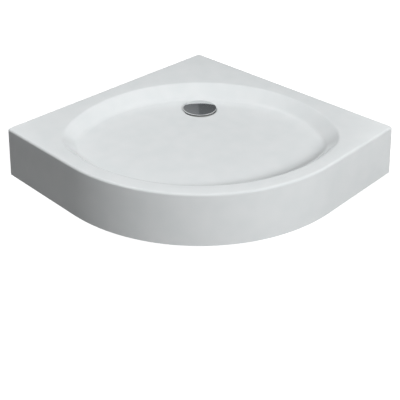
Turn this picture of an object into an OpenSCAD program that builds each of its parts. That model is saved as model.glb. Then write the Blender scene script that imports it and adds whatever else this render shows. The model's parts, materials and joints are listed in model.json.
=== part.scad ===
// Quadrant shower tray: a thermoformed acrylic shell on five screw feet, with its waste
// trap clamped in the drain hole. The two walls are at -X and +Y and the round front
// points to +X and -Y. Lengths in millimetres, Z up, floor at Z 0, origin under the middle.

/* [Tray] */
// Side of the tray along each wall, measured at the foot of the apron
tray_side = 900; // [870:1:960]
// Radius of the round front, measured at the foot of the apron
front_r = 550; // [530:1:570]
// Height of the deck above the floor
tray_h = 170; // [166:1:200]
// How far the sides stand in at the top, so that the shell leaves its mould
side_lean = 9; // [4:0.5:12]
// Radius of the corner at each end of the round front
end_corner_r = 12; // [9:0.5:20]
// Radius of the corner between the two walls
wall_corner_r = 14; // [9:0.5:30]
// Rounding from the deck to the sides
edge_r = 8; // [7.5:0.5:12]
// Depth of the lip that turns down along the walls
lip_h = 38; // [25:1:60]
// Length of apron that turns the corner at each wall
return_w = 45; // [30:1:80]
// Thickness of the acrylic sheet
shell_t = 4; // [3:0.5:5]
// Thickness of the resin backing
backing_t = 2.5; // [2:0.5:3]
// Height above the floor at which the backing of the apron ends
backing_foot = 22; // [15:1:40]

/* [Basin] */
// Width of the deck between the round front and the basin, from the foot of the apron
front_deck = 53; // [45:1:65]
// Distance along the middle from the wall corner to the back of the basin
back_deck = 284; // [270:1:285]
// Radius of the back of the basin
back_r = 450; // [430:1:470]
// Radius of the two ends of the basin
end_r = 165; // [150:1:180]
// Depth of the basin at the drain
basin_depth = 45; // [40:1:50]
// Fall of the basin floor to the drain, per metre
floor_fall = 20; // [15:1:25]
// Width of the basin wall at the front, seen from above
wall_front = 42; // [40:1:50]
// Width of the basin wall at the ends
wall_end = 56; // [50:1:65]
// Width of the basin wall at the back
wall_back = 64; // [54:1:65]
// Rounding from the deck into the basin
rim_r = 12; // [9:0.5:14]
// Rounding from the basin wall into its floor at the front
foot_front_r = 22; // [15:1:26]
// Rounding from the basin wall into its floor at the back
foot_back_r = 32; // [24:1:38]

/* [Drain] */
// Distance of the drain from each wall
drain_to_wall = 293; // [290:1:300]
// Radius of the hole in the tray
drain_hole_r = 45; // [43:0.5:50]
// Radius of the recess round the hole
recess_r = 56.5; // [55.8:0.1:58]
// Width of the slope round the recess
recess_slope = 2; // [1:0.1:2.5]
// Depth of the recess
recess_depth = 6; // [5:0.1:6.5]

/* [Board and feet] */
// Thickness of the board under the basin
board_t = 15; // [12:1:18]
// How far the board stays inside the floor of the basin
board_margin = 12; // [6:1:20]
// Radius of the hole in the board round the waste
board_hole_r = 75; // [68:1:78]
// Distance of the feet from the edge of the board
foot_inset = 48; // [40:1:60]
// Radius of the plate of a foot's socket
socket_r = 25; // [22:0.5:30]
// Thickness of the plate
socket_t = 3; // [2:0.5:4]
// Length of the threaded boss under the plate
boss_h = 26; // [20:1:32]
// Radius of the boss
boss_r = 11; // [9:0.5:14]
// Ribs between the plate and the boss
socket_ribs_n = 6; // [3:1:6]
// Thickness of a rib
rib_t = 2; // [1.5:0.5:2.5]
// Height of a rib at the boss
rib_h = 14; // [8:1:16]
// Radius of the stud, thread included
stud_r = 5; // [4:0.5:6]
// Width across the flats of the lock nut
nut_flats = 17; // [15:1:19]
// Height of the lock nut
nut_h = 8; // [6:0.5:10]
// Radius of the pad on the floor
pad_r = 22; // [18:1:24]
// Height of the pad
pad_h = 12; // [9:0.5:16]
// Screws in each socket
socket_screws_n = 3; // [2:1:4]
// Radius of a socket screw
screw_r = 2; // [1.5:0.1:2.5]
// Length of a socket screw in the board
screw_l = 11; // [8:1:11]

/* [Waste trap] */
// Radius of the cap
cap_r = 57; // [56:0.5:58]
// Thickness of the cap's sheet
cap_t = 1.6; // [1:0.1:2.5]
// Rise of the cap from its rim to its middle
cap_rise = 3.5; // [2:0.5:6]
// Height of the rim that turns down round the cap
cap_lip_h = 3.1; // [2:0.1:4]
// How far this rim leans in
cap_lip_in = 1; // [0.5:0.1:1.5]
// Gap between the cap and the clamping flange, where the water runs in
cap_gap = 2.6; // [2:0.1:5]
// Radius of the clamping flange and of the trap's flange
flange_r = 55; // [50:0.5:55.5]
// Thickness of the clamping flange
flange_t = 4; // [3:0.5:4.5]
// Outer radius of the threaded collar
collar_r = 38.4; // [37.5:0.1:40]
// Inner radius of the collar
collar_bore_r = 34; // [33:0.1:35]
// How far the collar reaches into the trap
collar_l = 9.5; // [8:0.5:12]
// Width of the ledge that carries the dip tube
ledge_w = 2.5; // [2:0.1:3]
// Height of the ledge
ledge_h = 3; // [2:0.5:4]
// Thickness of the upper gasket
upper_gasket_t = 1.5; // [1:0.1:2]
// Thickness of the lower gasket
lower_gasket_t = 2; // [1.5:0.1:3]
// Height of the trap's body under its flange
trap_h = 57; // [55:1:60]
// Wall of the trap's body
trap_wall = 2.5; // [2:0.1:3.5]
// Thickness of the trap's flange
trap_flange_t = 5; // [4:0.5:7]
// Inner radius of the cup that holds the water seal
cup_r = 28.5; // [27:0.1:29.5]
// Wall of the cup
cup_wall = 2; // [1.5:0.1:2.5]
// Height of the free way over the cup, under the collar
weir_gap = 6; // [5:0.5:8]
// Depth of the water seal
seal_depth = 38; // [30:1:40]
// Inner radius of the dip tube
dip_r = 17; // [14:0.5:19]
// Wall of the dip tube
dip_wall = 2; // [1.5:0.1:2.5]
// Height of the dip tube's head
head_h = 14; // [12:0.5:15]
// Thickness of the plate of the head
head_t = 2.5; // [2:0.1:3]
// Half the thickness of the seal ring on the head
seal_ring_r = 1.4; // [1.2:0.1:1.6]
// Width of the strainer's bars
bar_w = 3; // [2:0.5:4]
// Height of the strainer's bars
bar_h = 6; // [4:0.5:8]
// Radius of the stem under the cap
stem_r = 3; // [2.5:0.1:4]
// Length of the stem in the dip tube's hub
stem_l = 9; // [6:0.5:10]
// Radius of the hub under the cap
hub_r = 8; // [6:0.5:10]
// Room between the board and the union nut under it
outlet_room = 1.8; // [1.5:0.1:2.5]
// Outer radius of the outlet pipe
pipe_r = 20; // [18:0.5:20]
// Wall of the outlet pipe
pipe_wall = 2.2; // [1.8:0.1:3]
// Distance from the drain's axis to the mouth of the outlet branch
branch_l = 70; // [68:1:76]
// Depth of the socket in the branch
socket_l = 14; // [12:1:16]
// Thickness of the seal between the branch and the union nut's lip
outlet_seal_t = 4; // [3:0.5:5]
// Outer radius of the branch
branch_r = 23; // [22.5:0.1:23.5]
// Outer radius of the union nut
union_r = 25.3; // [24.5:0.1:25.8]
// Outer radius of the toothed ring on the union nut
union_ring_r = 26.6; // [26:0.1:26.8]
// Length of the union nut
union_l = 29; // [26:1:34]
// Teeth of the ring
union_teeth = 14; // [8:1:24]
// Radius of the bend, at the middle of the pipe
bend_r = 38; // [32:1:42]
// Angle of the bend
bend_angle = 45; // [30:1:45]
// How much the wall is thicker round the bend, on each side
bend_swell = 0.4; // [0.2:0.1:0.8]
// Straight pipe between the union nut and the bend
bend_start_l = 20; // [14:1:26]
// Straight pipe between the bend and the coupling
coupling_start_l = 7; // [5:1:10]
// Outer radius of the coupling's end, which is the pipe joint to the drain
coupling_r = 25; // [24:0.5:25]
// Length of the coupling
coupling_l = 50; // [44:1:54]
// Wall of the coupling
coupling_wall = 2.5; // [2:0.1:3.5]
// Length of pipe inside the coupling
coupling_grip = 21; // [15:1:24]

/* [Clearances] */
// Gap between pieces that lie against each other on a curved face
lay_gap = 0.3; // [0.2:0.05:0.5]
// Radial clearance of a pin, pipe or thread in its hole
fit_gap = 0.05; // [0.02:0.01:0.08]

/* [Hidden] */
FOOT_NAMES = ["front_foot", "right_foot", "left_foot", "rear_right_foot", "rear_left_foot"];
FOOT_PARTS = ["socket", "stud", "lock_nut", "pad"];

$fn = 72;
// How far a cutting solid runs past the face it cuts, and how far a joined one runs into its neighbour
cut = 1;
weld = 0.5;

// The skins are rings of stations: four quarters, each of this many steps
quarter_steps = 22;
stations = 4 * (quarter_steps + 1);
foot_steps = 4;
rim_steps = 2;
edge_steps = 3;

// Steps round the sphere that the cap is cut from, as it is so much larger than the cap
dome_steps = 240;

// The basin is an oval of four arcs about the line from the wall corner to the front.
// Its own axes: x across that line, y along it towards the wall corner.
corner_y = tray_side / sqrt(2);
front_c = [0, (2 * front_r - tray_side) / sqrt(2)];
front_arc_r = front_r - front_deck;
back_c = [0, corner_y - back_deck - back_r];
end_y = (pow(front_c[1], 2) - pow(back_c[1], 2) - pow(front_arc_r - end_r, 2)
    + pow(back_r - end_r, 2)) / (2 * (front_c[1] - back_c[1]));
end_x = sqrt(pow(back_r - end_r, 2) - pow(end_y - back_c[1], 2));
front_turn = atan2(end_y - front_c[1], end_x);
back_turn = atan2(end_y - back_c[1], end_x);

lean = atan2(side_lean, tray_h);
quadrant_c = [tray_side / 2 - front_r, front_r - tray_side / 2];

drain = [drain_to_wall - tray_side / 2, tray_side / 2 - drain_to_wall];
drain_z = tray_h - basin_depth;
recess_z = drain_z - recess_depth;
recess_top_r = recess_r + recess_slope;
recess_angle = atan2(recess_depth, recess_slope);
floor_slope = floor_fall / 1000;

backing_out = shell_t + lay_gap;
backing_in = backing_out + backing_t;
bed_min = 0.8;
board_top = drain_z - backing_in - bed_min;
board_bottom = board_top - board_t;
hole_stock = 8; // skin inside the drain hole before it is cut
trim_room = 12; // depth of the cut under the lip behind the skins
backing_lip_gap = 6; // how far the backing ends above the lip's edge

foot_turns = [-90, -12, 192, 51, 129];
boss_bottom = board_bottom - socket_t - boss_h;
stud_room = 5.5; // free thread in the socket over the stud
stud_top = board_bottom - socket_t - stud_room;
stud_seat = pad_h / 3;
stud_foot_r = stud_r + 1;
flats_h = 9;
flats_r = stud_foot_r + 2;
rib_end_r = socket_r - 2.5;
rib_end_h = 1;
pad_base_h = pad_h / 4;
pad_edge = 1;
pad_neck_r = stud_foot_r + 4;
pad_fillet = 2;
screw_head_r = 2 * screw_r;
screw_face_r = 1.4 * screw_r;
screw_circle_r = (boss_r + socket_r) / 2;

flange_bottom = recess_z + upper_gasket_t;
flange_top = flange_bottom + flange_t;
gasket_r = flange_r - 1;
key_size = [5, 6, 2]; // notches for the spanner that tightens the flange
trap_top = recess_z - backing_in - lower_gasket_t;
trap_neck = trap_top - trap_flange_t;
trap_bottom = trap_neck - trap_h;
trap_bore_r = collar_r + fit_gap;
trap_r = trap_bore_r + trap_wall;
trap_neck_w = 3;
trap_neck_h = 5;
trap_heel = 5;
heel_draft = 0.6;
collar_bottom = trap_top - collar_l;
ledge_r = collar_bore_r - ledge_w;
insert_z = collar_bottom + ledge_h;
cup_top = collar_bottom - weir_gap;
dip_bottom = cup_top - seal_depth;
insert_r = collar_bore_r - lay_gap;
insert_top = insert_z + head_h;
groove_r = insert_r - 2 * seal_ring_r + fit_gap;
groove_h = 2 * seal_ring_r + 2 * lay_gap;
groove_lift = 1.5;
groove_z = insert_z + head_t + groove_lift;
head_wall = 2;
head_bore_r = groove_r - head_wall;
hub_h = bar_h + 4;
arm_l = 18; // arms under the cap
arm_w = 2;
arm_lift = 2;

cap_edge_z = flange_top + cap_gap;
cap_sphere_r = (pow(cap_r, 2) + pow(cap_rise, 2)) / (2 * cap_rise);
cap_sphere_z = cap_edge_z + cap_lip_h + cap_rise - cap_sphere_r;

outlet_z = board_bottom - outlet_room - union_ring_r;
pipe_bore_r = pipe_r - pipe_wall;
socket_bore_r = pipe_r + fit_gap;
pipe_set = 1; // gap between the pipe's end and the bottom of its socket
union_bore_r = branch_r + fit_gap;
union_lip_l = 4;
union_teeth_l = 8;
union_room = 2; // thread left free between the seal and the union nut's lip
union_end = branch_l + outlet_seal_t + union_room + union_lip_l;
union_start = union_end - union_l;
bend_start = union_end + bend_start_l;
coupling_neck_r = coupling_r - 2.5;
coupling_shoulder = 6;
coupling_edge = 1;
coupling_top = coupling_start_l + coupling_l;
coupling_step = coupling_start_l + coupling_grip + 1;
seal_groove_z = coupling_start_l + 8;
seal_groove_l = 4;
seal_groove_d = 2;

// Tray skins

// Turns a point of the basin's own axes into the tray's axes along the walls
function to_walls(p) = [(p[0] - p[1]) / sqrt(2), (p[0] + p[1]) / sqrt(2)];

// Point of the basin's oval whose wall faces the angle a, drawn in by inset
function oval(a, inset) =
    let (side = cos(a) < 0 ? -1 : 1, turn = atan2(sin(a), abs(cos(a))))
    let (
        c = turn > back_turn ? back_c : turn < front_turn ? front_c : [side * end_x, end_y],
        r = turn > back_turn ? back_r : turn < front_turn ? front_arc_r : end_r
    )
    c + (r - inset) * [cos(a), sin(a)];

// Blends a value from the front over the ends to the back of the basin
function round_oval(a, front, end, back) =
    end + (sin(a) > 0 ? back - end : front - end) * pow(sin(a), 2);

function wall_w(a) = round_oval(a, wall_front, wall_end, wall_back);
function foot_r(a) = round_oval(a, foot_front_r, foot_front_r + 4, foot_back_r);

// Height of the basin floor at a point, falling evenly to the recess
function floor_z(p) = drain_z + floor_slope * max(0, norm(p - drain) - recess_top_r);
function wall_h(a) = tray_h - floor_z(to_walls(oval(a, wall_w(a))));

// Steepness of a wall of width w and height h between two roundings of summed radius r
function wall_angle(w, h, r) =
    asin(r / norm([w, h - r])) + atan2(h - r, w);

function station_angle(i) = 270 + (i + 0.5) * 360 / stations;

// Ring round the four sides at height z, inset from the nominal outline
function side_ring(inset, z) =
    let (ease = inset - z * tan(lean))
    [
        for (k = [0:3], j = [0:quarter_steps])
            let (
                a = 270 + 90 * k + 90 * j / quarter_steps,
                r = k == 0 ? front_r - inset : max(1, (k == 2 ? wall_corner_r : end_corner_r) - ease),
                reach = tray_side / 2 - inset - r,
                c = k == 0 ? quadrant_c : reach * [k == 1 ? 1 : -1, k == 3 ? -1 : 1]
            )
            [c[0] + r * cos(a), c[1] + r * sin(a), z]
    ];

// Ring on the rounding from the deck to the sides, t inside the visible surface
function edge_ring(f, t) =
    let (turn = f * (90 - lean), z = tray_h - edge_r, r = max(0.3, edge_r - t), back = edge_r - t - r)
    side_ring(z * tan(lean) + (edge_r - back) / cos(lean) - r * sin(turn), z + back + r * cos(turn));

// Rings on the rounding at the top and on the rounding at the foot of the basin wall
function rim_ring(f, t) = [
    for (i = [0:stations - 1])
        let (
            a = station_angle(i) - 45,
            turn = f * wall_angle(wall_w(a), wall_h(a), rim_r + foot_r(a))
        )
        concat(
            to_walls(oval(a, (rim_r - t) * sin(turn))),
            tray_h - rim_r + (rim_r - t) * cos(turn)
        )
];
function foot_ring(f, t) = [
    for (i = [0:stations - 1])
        let (
            a = station_angle(i) - 45,
            turn = f * wall_angle(wall_w(a), wall_h(a), rim_r + foot_r(a)),
            r = foot_r(a)
        )
        concat(
            to_walls(oval(a, wall_w(a) - (r + t) * sin(turn))),
            tray_h - wall_h(a) + r - (r + t) * cos(turn)
        )
];
// The foot of the basin wall, dropped to the flat bed of the board
function bed_ring(z) = [for (p = foot_ring(0, 0)) [p[0], p[1], z]];

function drain_ring(r, z) = [
    for (i = [0:stations - 1])
        [drain[0] + r * cos(station_angle(i)), drain[1] + r * sin(station_angle(i)), z]
];

// Surface from the drain over the floor, wall, deck and edge down the apron, t inside
function recess_rings(t, upper_z) =
    let (shift = t * tan(recess_angle / 2))
    [
        drain_ring(drain_hole_r - hole_stock, recess_z - t),
        drain_ring(recess_r + shift, recess_z - t),
        drain_ring(recess_top_r + shift, upper_z)
    ];
function wall_rings(t, foot_z) = concat(
    [for (j = [0:foot_steps]) foot_ring(j / foot_steps, t)],
    [for (j = [rim_steps:-1:0]) rim_ring(j / rim_steps, t)],
    [for (j = [0:edge_steps]) edge_ring(j / edge_steps, t)],
    [side_ring(foot_z * tan(lean) + t / cos(lean), foot_z)]
);

function reversed(list) = [for (i = [len(list) - 1:-1:0]) list[i]];

// Closed skin through a loop of rings
module skin(rings) {
    n = len(rings);
    polyhedron(
        points = [for (ring = rings, p = ring) p],
        faces = [
            for (k = [0:n - 1], i = [0:stations - 1], half = [0, 1])
                let (
                    next_k = (k + 1) % n,
                    next_i = (i + 1) % stations,
                    a = k * stations + i,
                    b = k * stations + next_i,
                    c = next_k * stations + next_i,
                    d = next_k * stations + i
                )
                half == 0 ? [a, b, c] : [a, c, d]
        ],
        convexity = 8
    );
}

// Space along both walls under the lip, where the sheet is trimmed away
module wall_trim(top) {
    depth = side_lean + backing_in + trim_room;
    reach = tray_side / 2;
    for (flip = [0, 1])
        mirror([flip, flip, 0])
            translate([-reach - cut, -reach + return_w, -cut])
                cube([depth + cut, tray_side - return_w + cut, top + cut]);
}

module drain_hole() {
    translate([drain[0], drain[1], 0])
        cylinder(r = drain_hole_r, h = tray_h);
}

module tray_shell() {
    color("white")
        difference() {
            skin(concat(
                recess_rings(0, drain_z), wall_rings(0, 0),
                reversed(concat(recess_rings(shell_t, drain_z - shell_t), wall_rings(shell_t, 0)))
            ));
            drain_hole();
            wall_trim(tray_h - lip_h);
        }
}

module glassfibre_backing() {
    color("darkseagreen")
        difference() {
            skin(concat(
                recess_rings(backing_out, drain_z - backing_out),
                wall_rings(backing_out, backing_foot),
                reversed(concat(
                    recess_rings(backing_in, board_top),
                    [bed_ring(board_top)],
                    wall_rings(backing_in, backing_foot)
                ))
            ));
            drain_hole();
            wall_trim(tray_h - lip_h + backing_lip_gap);
        }
}

// Board and feet

function foot_place(k) =
    let (a = foot_turns[k])
    to_walls(oval(a, wall_w(a) + board_margin + foot_inset));

module at_foot(k) {
    p = foot_place(k);
    translate([p[0], p[1], 0])
        children();
}

module at_socket_screws() {
    for (j = [0:socket_screws_n - 1])
        rotate(90 + 360 * j / socket_screws_n)
            translate([screw_circle_r, 0, 0])
                children();
}

module base_board() {
    outline = [
        for (i = [0:stations - 1])
            let (a = station_angle(i) - 45)
            to_walls(oval(a, wall_w(a) + board_margin))
    ];
    color("burlywood")
        difference() {
            translate([0, 0, board_bottom])
                linear_extrude(board_t)
                    polygon(outline);
            translate([drain[0], drain[1], board_bottom - cut])
                cylinder(r = board_hole_r, h = board_t + 2 * cut);
            for (k = [0:len(foot_turns) - 1])
                at_foot(k)
                    at_socket_screws()
                        translate([0, 0, board_bottom - cut])
                            cylinder(r = screw_r + fit_gap, h = screw_l + lay_gap + cut);
        }
}

module foot_socket(k) {
    under = board_bottom - socket_t;
    color("dimgray")
        at_foot(k)
            difference() {
                union() {
                    translate([0, 0, under])
                        cylinder(r = socket_r, h = socket_t);
                    translate([0, 0, boss_bottom])
                        cylinder(r = boss_r, h = boss_h + socket_t / 2);
                    for (j = [0:socket_ribs_n - 1])
                        rotate(360 * j / socket_ribs_n)
                            translate([0, rib_t / 2, under])
                                rotate([90, 0, 0])
                                    linear_extrude(rib_t)
                                        polygon([
                                            [boss_r - weld, weld], [boss_r - weld, -rib_h],
                                            [boss_r + weld, -rib_h], [rib_end_r, -rib_end_h], [rib_end_r, weld]
                                        ]);
                }
                translate([0, 0, boss_bottom - cut])
                    cylinder(r = stud_r + fit_gap, h = boss_h + cut);
                at_socket_screws()
                    translate([0, 0, board_bottom - socket_t - cut])
                        cylinder(r = screw_r + lay_gap, h = socket_t + 2 * cut);
            }
}

module foot_stud(k) {
    color("silver")
        at_foot(k) {
            translate([0, 0, pad_h + flats_h])
                cylinder(r = stud_r, h = stud_top - pad_h - flats_h);
            translate([0, 0, pad_h + lay_gap])
                cylinder(r = flats_r, h = flats_h - lay_gap, $fn = 6);
            translate([0, 0, stud_seat])
                cylinder(r = stud_foot_r, h = pad_h - stud_seat + lay_gap);
        }
}

module foot_lock_nut(k) {
    color("silver")
        at_foot(k)
            translate([0, 0, boss_bottom - lay_gap - nut_h])
                difference() {
                    cylinder(r = nut_flats / sqrt(3), h = nut_h, $fn = 6);
                    translate([0, 0, -cut])
                        cylinder(r = stud_r + fit_gap, h = nut_h + 2 * cut);
                }
}

module foot_pad(k) {
    color("black")
        at_foot(k)
            rotate_extrude()
                polygon([
                    [0, 0], [pad_r - pad_edge, 0], [pad_r, pad_edge], [pad_r, pad_base_h],
                    [pad_neck_r + pad_fillet, pad_base_h + pad_fillet], [pad_neck_r, pad_h],
                    [stud_foot_r + fit_gap, pad_h], [stud_foot_r + fit_gap, stud_seat], [0, stud_seat]
                ]);
}

module socket_screws() {
    color("goldenrod")
        for (k = [0:len(foot_turns) - 1])
            at_foot(k)
                at_socket_screws() {
                    translate([0, 0, board_bottom - socket_t])
                        cylinder(r = screw_r, h = screw_l + socket_t);
                    translate([0, 0, board_bottom - socket_t - screw_r])
                        cylinder(r1 = screw_face_r, r2 = screw_head_r, h = screw_r);
                }
}

// Waste

module at_drain() {
    translate([drain[0], drain[1], 0])
        children();
}

// Local Z along the outlet, away from the drain, and local Y up
module along_outlet() {
    at_drain()
        translate([0, 0, outlet_z])
            rotate([90, 0, 0])
                children();
}

// The same axes carried round the bend to its lower end
module after_bend() {
    along_outlet()
        translate([0, -bend_r, bend_start])
            rotate([bend_angle, 0, 0])
                translate([0, bend_r, 0])
                    children();
}

module tube(outer, inner, low, high) {
    translate([0, 0, low])
        linear_extrude(high - low)
            difference() {
                circle(outer);
                circle(inner);
            }
}

module waste_flange() {
    soft = flange_t / 3;
    color("silver")
        at_drain()
            difference() {
                rotate_extrude()
                    polygon([
                        [collar_bore_r, flange_top], [flange_r - soft, flange_top],
                        [flange_r, flange_top - soft], [flange_r, flange_bottom],
                        [collar_r, flange_bottom], [collar_r, collar_bottom],
                        [ledge_r, collar_bottom], [ledge_r, insert_z], [collar_bore_r, insert_z]
                    ]);
                for (turn = [0:90:270])
                    rotate(turn)
                        translate([collar_bore_r - cut, -key_size[1] / 2, flange_top - key_size[2]])
                            cube([key_size[0] + cut, key_size[1], key_size[2] + cut]);
            }
}

module upper_gasket() {
    color("dimgray")
        at_drain()
            tube(gasket_r, collar_r + lay_gap, recess_z, flange_bottom);
}

module lower_gasket() {
    color("dimgray")
        at_drain()
            tube(gasket_r, trap_r, trap_top, trap_top + lower_gasket_t);
}

module trap_body() {
    step_r = trap_r + trap_neck_w;
    step_z = trap_neck - trap_neck_h;
    color("whitesmoke") {
        difference() {
            union() {
                at_drain()
                    rotate_extrude()
                        polygon([
                            [0, trap_bottom], [trap_r - trap_heel, trap_bottom],
                            [trap_r - trap_heel / 3, trap_bottom + trap_heel / 3],
                            [trap_r - heel_draft, trap_bottom + trap_heel], [trap_r, step_z],
                            [step_r, step_z + trap_neck_w / 3], [step_r, trap_neck], [flange_r, trap_neck],
                            [flange_r, trap_top], [0, trap_top]
                        ]);
                along_outlet()
                    cylinder(r = branch_r, h = branch_l);
            }
            at_drain()
                translate([0, 0, trap_bottom + trap_wall])
                    cylinder(r = trap_bore_r, h = trap_top - trap_bottom);
            along_outlet() {
                cylinder(r = pipe_bore_r, h = branch_l + cut);
                translate([0, 0, branch_l - socket_l])
                    cylinder(r = socket_bore_r, h = socket_l + cut);
            }
        }
        at_drain()
            tube(cup_r + cup_wall, cup_r, trap_bottom + trap_wall, cup_top);
    }
}

module dip_tube() {
    color("whitesmoke")
        at_drain()
            difference() {
                union() {
                    rotate_extrude()
                        polygon([
                            [dip_r, dip_bottom], [dip_r + dip_wall, dip_bottom], [dip_r + dip_wall, insert_z],
                            [insert_r, insert_z], [insert_r, groove_z], [groove_r, groove_z],
                            [groove_r, groove_z + groove_h], [insert_r, groove_z + groove_h],
                            [insert_r, insert_top], [head_bore_r, insert_top],
                            [head_bore_r, insert_z + head_t], [dip_r, insert_z + head_t]
                        ]);
                    for (turn = [0:60:120])
                        rotate(turn)
                            translate([-head_bore_r - weld, -bar_w / 2, insert_top - bar_h])
                                cube([2 * (head_bore_r + weld), bar_w, bar_h]);
                    translate([0, 0, insert_top - hub_h])
                        cylinder(r = hub_r, h = hub_h);
                }
                translate([0, 0, insert_top - hub_h - cut])
                    cylinder(r = stem_r + fit_gap, h = hub_h + 2 * cut);
            }
}

module insert_seal() {
    color("black")
        at_drain()
            translate([0, 0, groove_z + groove_h / 2])
                rotate_extrude()
                    translate([groove_r + fit_gap + seal_ring_r, 0])
                        circle(seal_ring_r);
}

// One side of the cap's sheet: a dome on a rim that leans in towards its lower edge
module cap_form(inset, reach) {
    intersection() {
        union() {
            translate([0, 0, cap_edge_z])
                cylinder(r1 = cap_r - cap_lip_in - inset, r2 = cap_r - inset, h = cap_lip_h);
            translate([0, 0, cap_edge_z + cap_lip_h])
                cylinder(r = cap_r - inset, h = cap_rise + cut);
            if (reach > 0)
                translate([0, 0, cap_edge_z - reach])
                    cylinder(r = cap_r - cap_lip_in - inset, h = reach);
        }
        translate([0, 0, cap_sphere_z])
            sphere(cap_sphere_r - inset, $fn = dome_steps);
    }
}

module cap() {
    color("silver")
        at_drain()
            difference() {
                cap_form(0, 0);
                cap_form(cap_t, cut);
            }
}

// Hub that lies on the dip tube's hub, with the stem below it and six arms under the cap
module cap_stem() {
    arm_top = cap_sphere_z + sqrt(pow(cap_sphere_r - cap_t, 2) - pow(arm_l, 2)) - lay_gap;
    hub_top = cap_sphere_z + sqrt(pow(cap_sphere_r - cap_t, 2) - pow(hub_r, 2)) - lay_gap;
    color("whitesmoke")
        at_drain() {
            translate([0, 0, insert_top])
                cylinder(r = hub_r, h = hub_top - insert_top);
            translate([0, 0, insert_top - stem_l])
                cylinder(r = stem_r, h = stem_l);
            for (turn = [0:60:120])
                rotate(turn)
                    translate([-arm_l, -arm_w / 2, insert_top + arm_lift])
                        cube([2 * arm_l, arm_w, arm_top - insert_top - arm_lift]);
        }
}

module union_nut() {
    tooth_w = PI * union_ring_r / union_teeth;
    color("whitesmoke")
        along_outlet() {
            tube(union_r, union_bore_r, union_start, union_end);
            translate([0, 0, union_end - union_teeth_l])
                difference() {
                    cylinder(r = union_ring_r, h = union_teeth_l);
                    translate([0, 0, -cut])
                        cylinder(r = union_bore_r, h = union_teeth_l + 2 * cut);
                    for (j = [0:union_teeth - 1])
                        rotate(360 * j / union_teeth)
                            translate([union_r, -tooth_w / 2, -cut])
                                cube([union_ring_r, tooth_w, union_teeth_l + 2 * cut]);
                }
            tube(union_r, pipe_r + lay_gap, union_end - union_lip_l, union_end);
        }
}

module outlet_seal() {
    color("dimgray")
        along_outlet()
            tube(branch_r - lay_gap, pipe_r + fit_gap, branch_l, branch_l + outlet_seal_t);
}

module elbow() {
    color("whitesmoke") {
        along_outlet() {
            tube(pipe_r, pipe_bore_r, branch_l - socket_l + pipe_set, bend_start + weld);
            translate([0, -bend_r, bend_start])
                rotate([90, 0, 90])
                    rotate_extrude(angle = bend_angle)
                        translate([bend_r, 0])
                            difference() {
                                circle(pipe_r + bend_swell);
                                circle(pipe_bore_r - bend_swell);
                            }
        }
        after_bend()
            tube(pipe_r, pipe_bore_r, -weld, coupling_start_l + coupling_grip);
    }
}

module outlet_coupling() {
    color("whitesmoke")
        after_bend()
            difference() {
                rotate_extrude()
                    polygon([
                        [pipe_r + fit_gap, coupling_start_l], [coupling_neck_r, coupling_start_l],
                        [coupling_r, coupling_start_l + coupling_shoulder], [coupling_r, coupling_top - coupling_edge],
                        [coupling_r - coupling_edge, coupling_top], [coupling_r - coupling_wall, coupling_top],
                        [coupling_r - coupling_wall, coupling_step], [pipe_r + fit_gap, coupling_step]
                    ]);
                tube(pipe_r + seal_groove_d, pipe_r, seal_groove_z, seal_groove_z + seal_groove_l);
            }
}

module coupling_seal() {
    color("black")
        after_bend()
            tube(pipe_r + seal_groove_d - lay_gap, pipe_r + fit_gap, seal_groove_z + lay_gap,
                seal_groove_z + seal_groove_l - lay_gap);
}

tray_shell();
glassfibre_backing();
base_board();
for (k = [0:len(FOOT_NAMES) - 1]) {
    foot_socket(k);
    foot_stud(k);
    foot_lock_nut(k);
    foot_pad(k);
}
socket_screws();
waste_flange();
upper_gasket();
lower_gasket();
trap_body();
dip_tube();
insert_seal();
cap_stem();
cap();
union_nut();
outlet_seal();
elbow();
outlet_coupling();
coupling_seal();
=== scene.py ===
import json
import math

import bmesh
import bpy
from mathutils import Matrix, Vector, noise


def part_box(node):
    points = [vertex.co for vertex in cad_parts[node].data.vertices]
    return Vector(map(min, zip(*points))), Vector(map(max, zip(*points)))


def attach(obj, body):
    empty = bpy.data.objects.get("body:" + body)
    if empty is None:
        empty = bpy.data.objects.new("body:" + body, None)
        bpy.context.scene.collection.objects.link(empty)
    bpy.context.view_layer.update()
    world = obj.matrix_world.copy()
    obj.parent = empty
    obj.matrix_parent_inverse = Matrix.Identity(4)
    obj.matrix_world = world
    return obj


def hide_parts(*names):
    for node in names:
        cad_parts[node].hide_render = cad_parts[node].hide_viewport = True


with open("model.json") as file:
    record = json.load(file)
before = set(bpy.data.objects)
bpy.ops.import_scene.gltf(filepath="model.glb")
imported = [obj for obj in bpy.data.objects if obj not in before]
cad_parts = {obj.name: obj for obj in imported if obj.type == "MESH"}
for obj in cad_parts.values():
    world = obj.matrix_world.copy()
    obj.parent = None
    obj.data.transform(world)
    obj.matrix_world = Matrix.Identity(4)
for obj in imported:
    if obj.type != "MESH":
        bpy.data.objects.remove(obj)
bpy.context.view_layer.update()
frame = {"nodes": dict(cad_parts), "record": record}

fullTurn = 2 * math.pi
quarterTurn = math.pi / 2


# Small tools; all sizes are in metres

def toLinear(hexColour):
    channels = [int(hexColour[i:i + 2], 16) / 255 for i in (1, 3, 5)]
    return [c / 12.92 if c <= 0.04045 else ((c + 0.055) / 1.055) ** 2.4 for c in channels] + [1.0]


def setInputs(tree, node, inputs):
    # fills a node's inputs with values or links them to other nodes
    for key, value in inputs.items():
        if isinstance(value, bpy.types.Node):
            value = value.outputs[0]
        if isinstance(value, bpy.types.NodeSocket):
            tree.links.new(value, node.inputs[key])
        else:
            node.inputs[key].default_value = value


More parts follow.
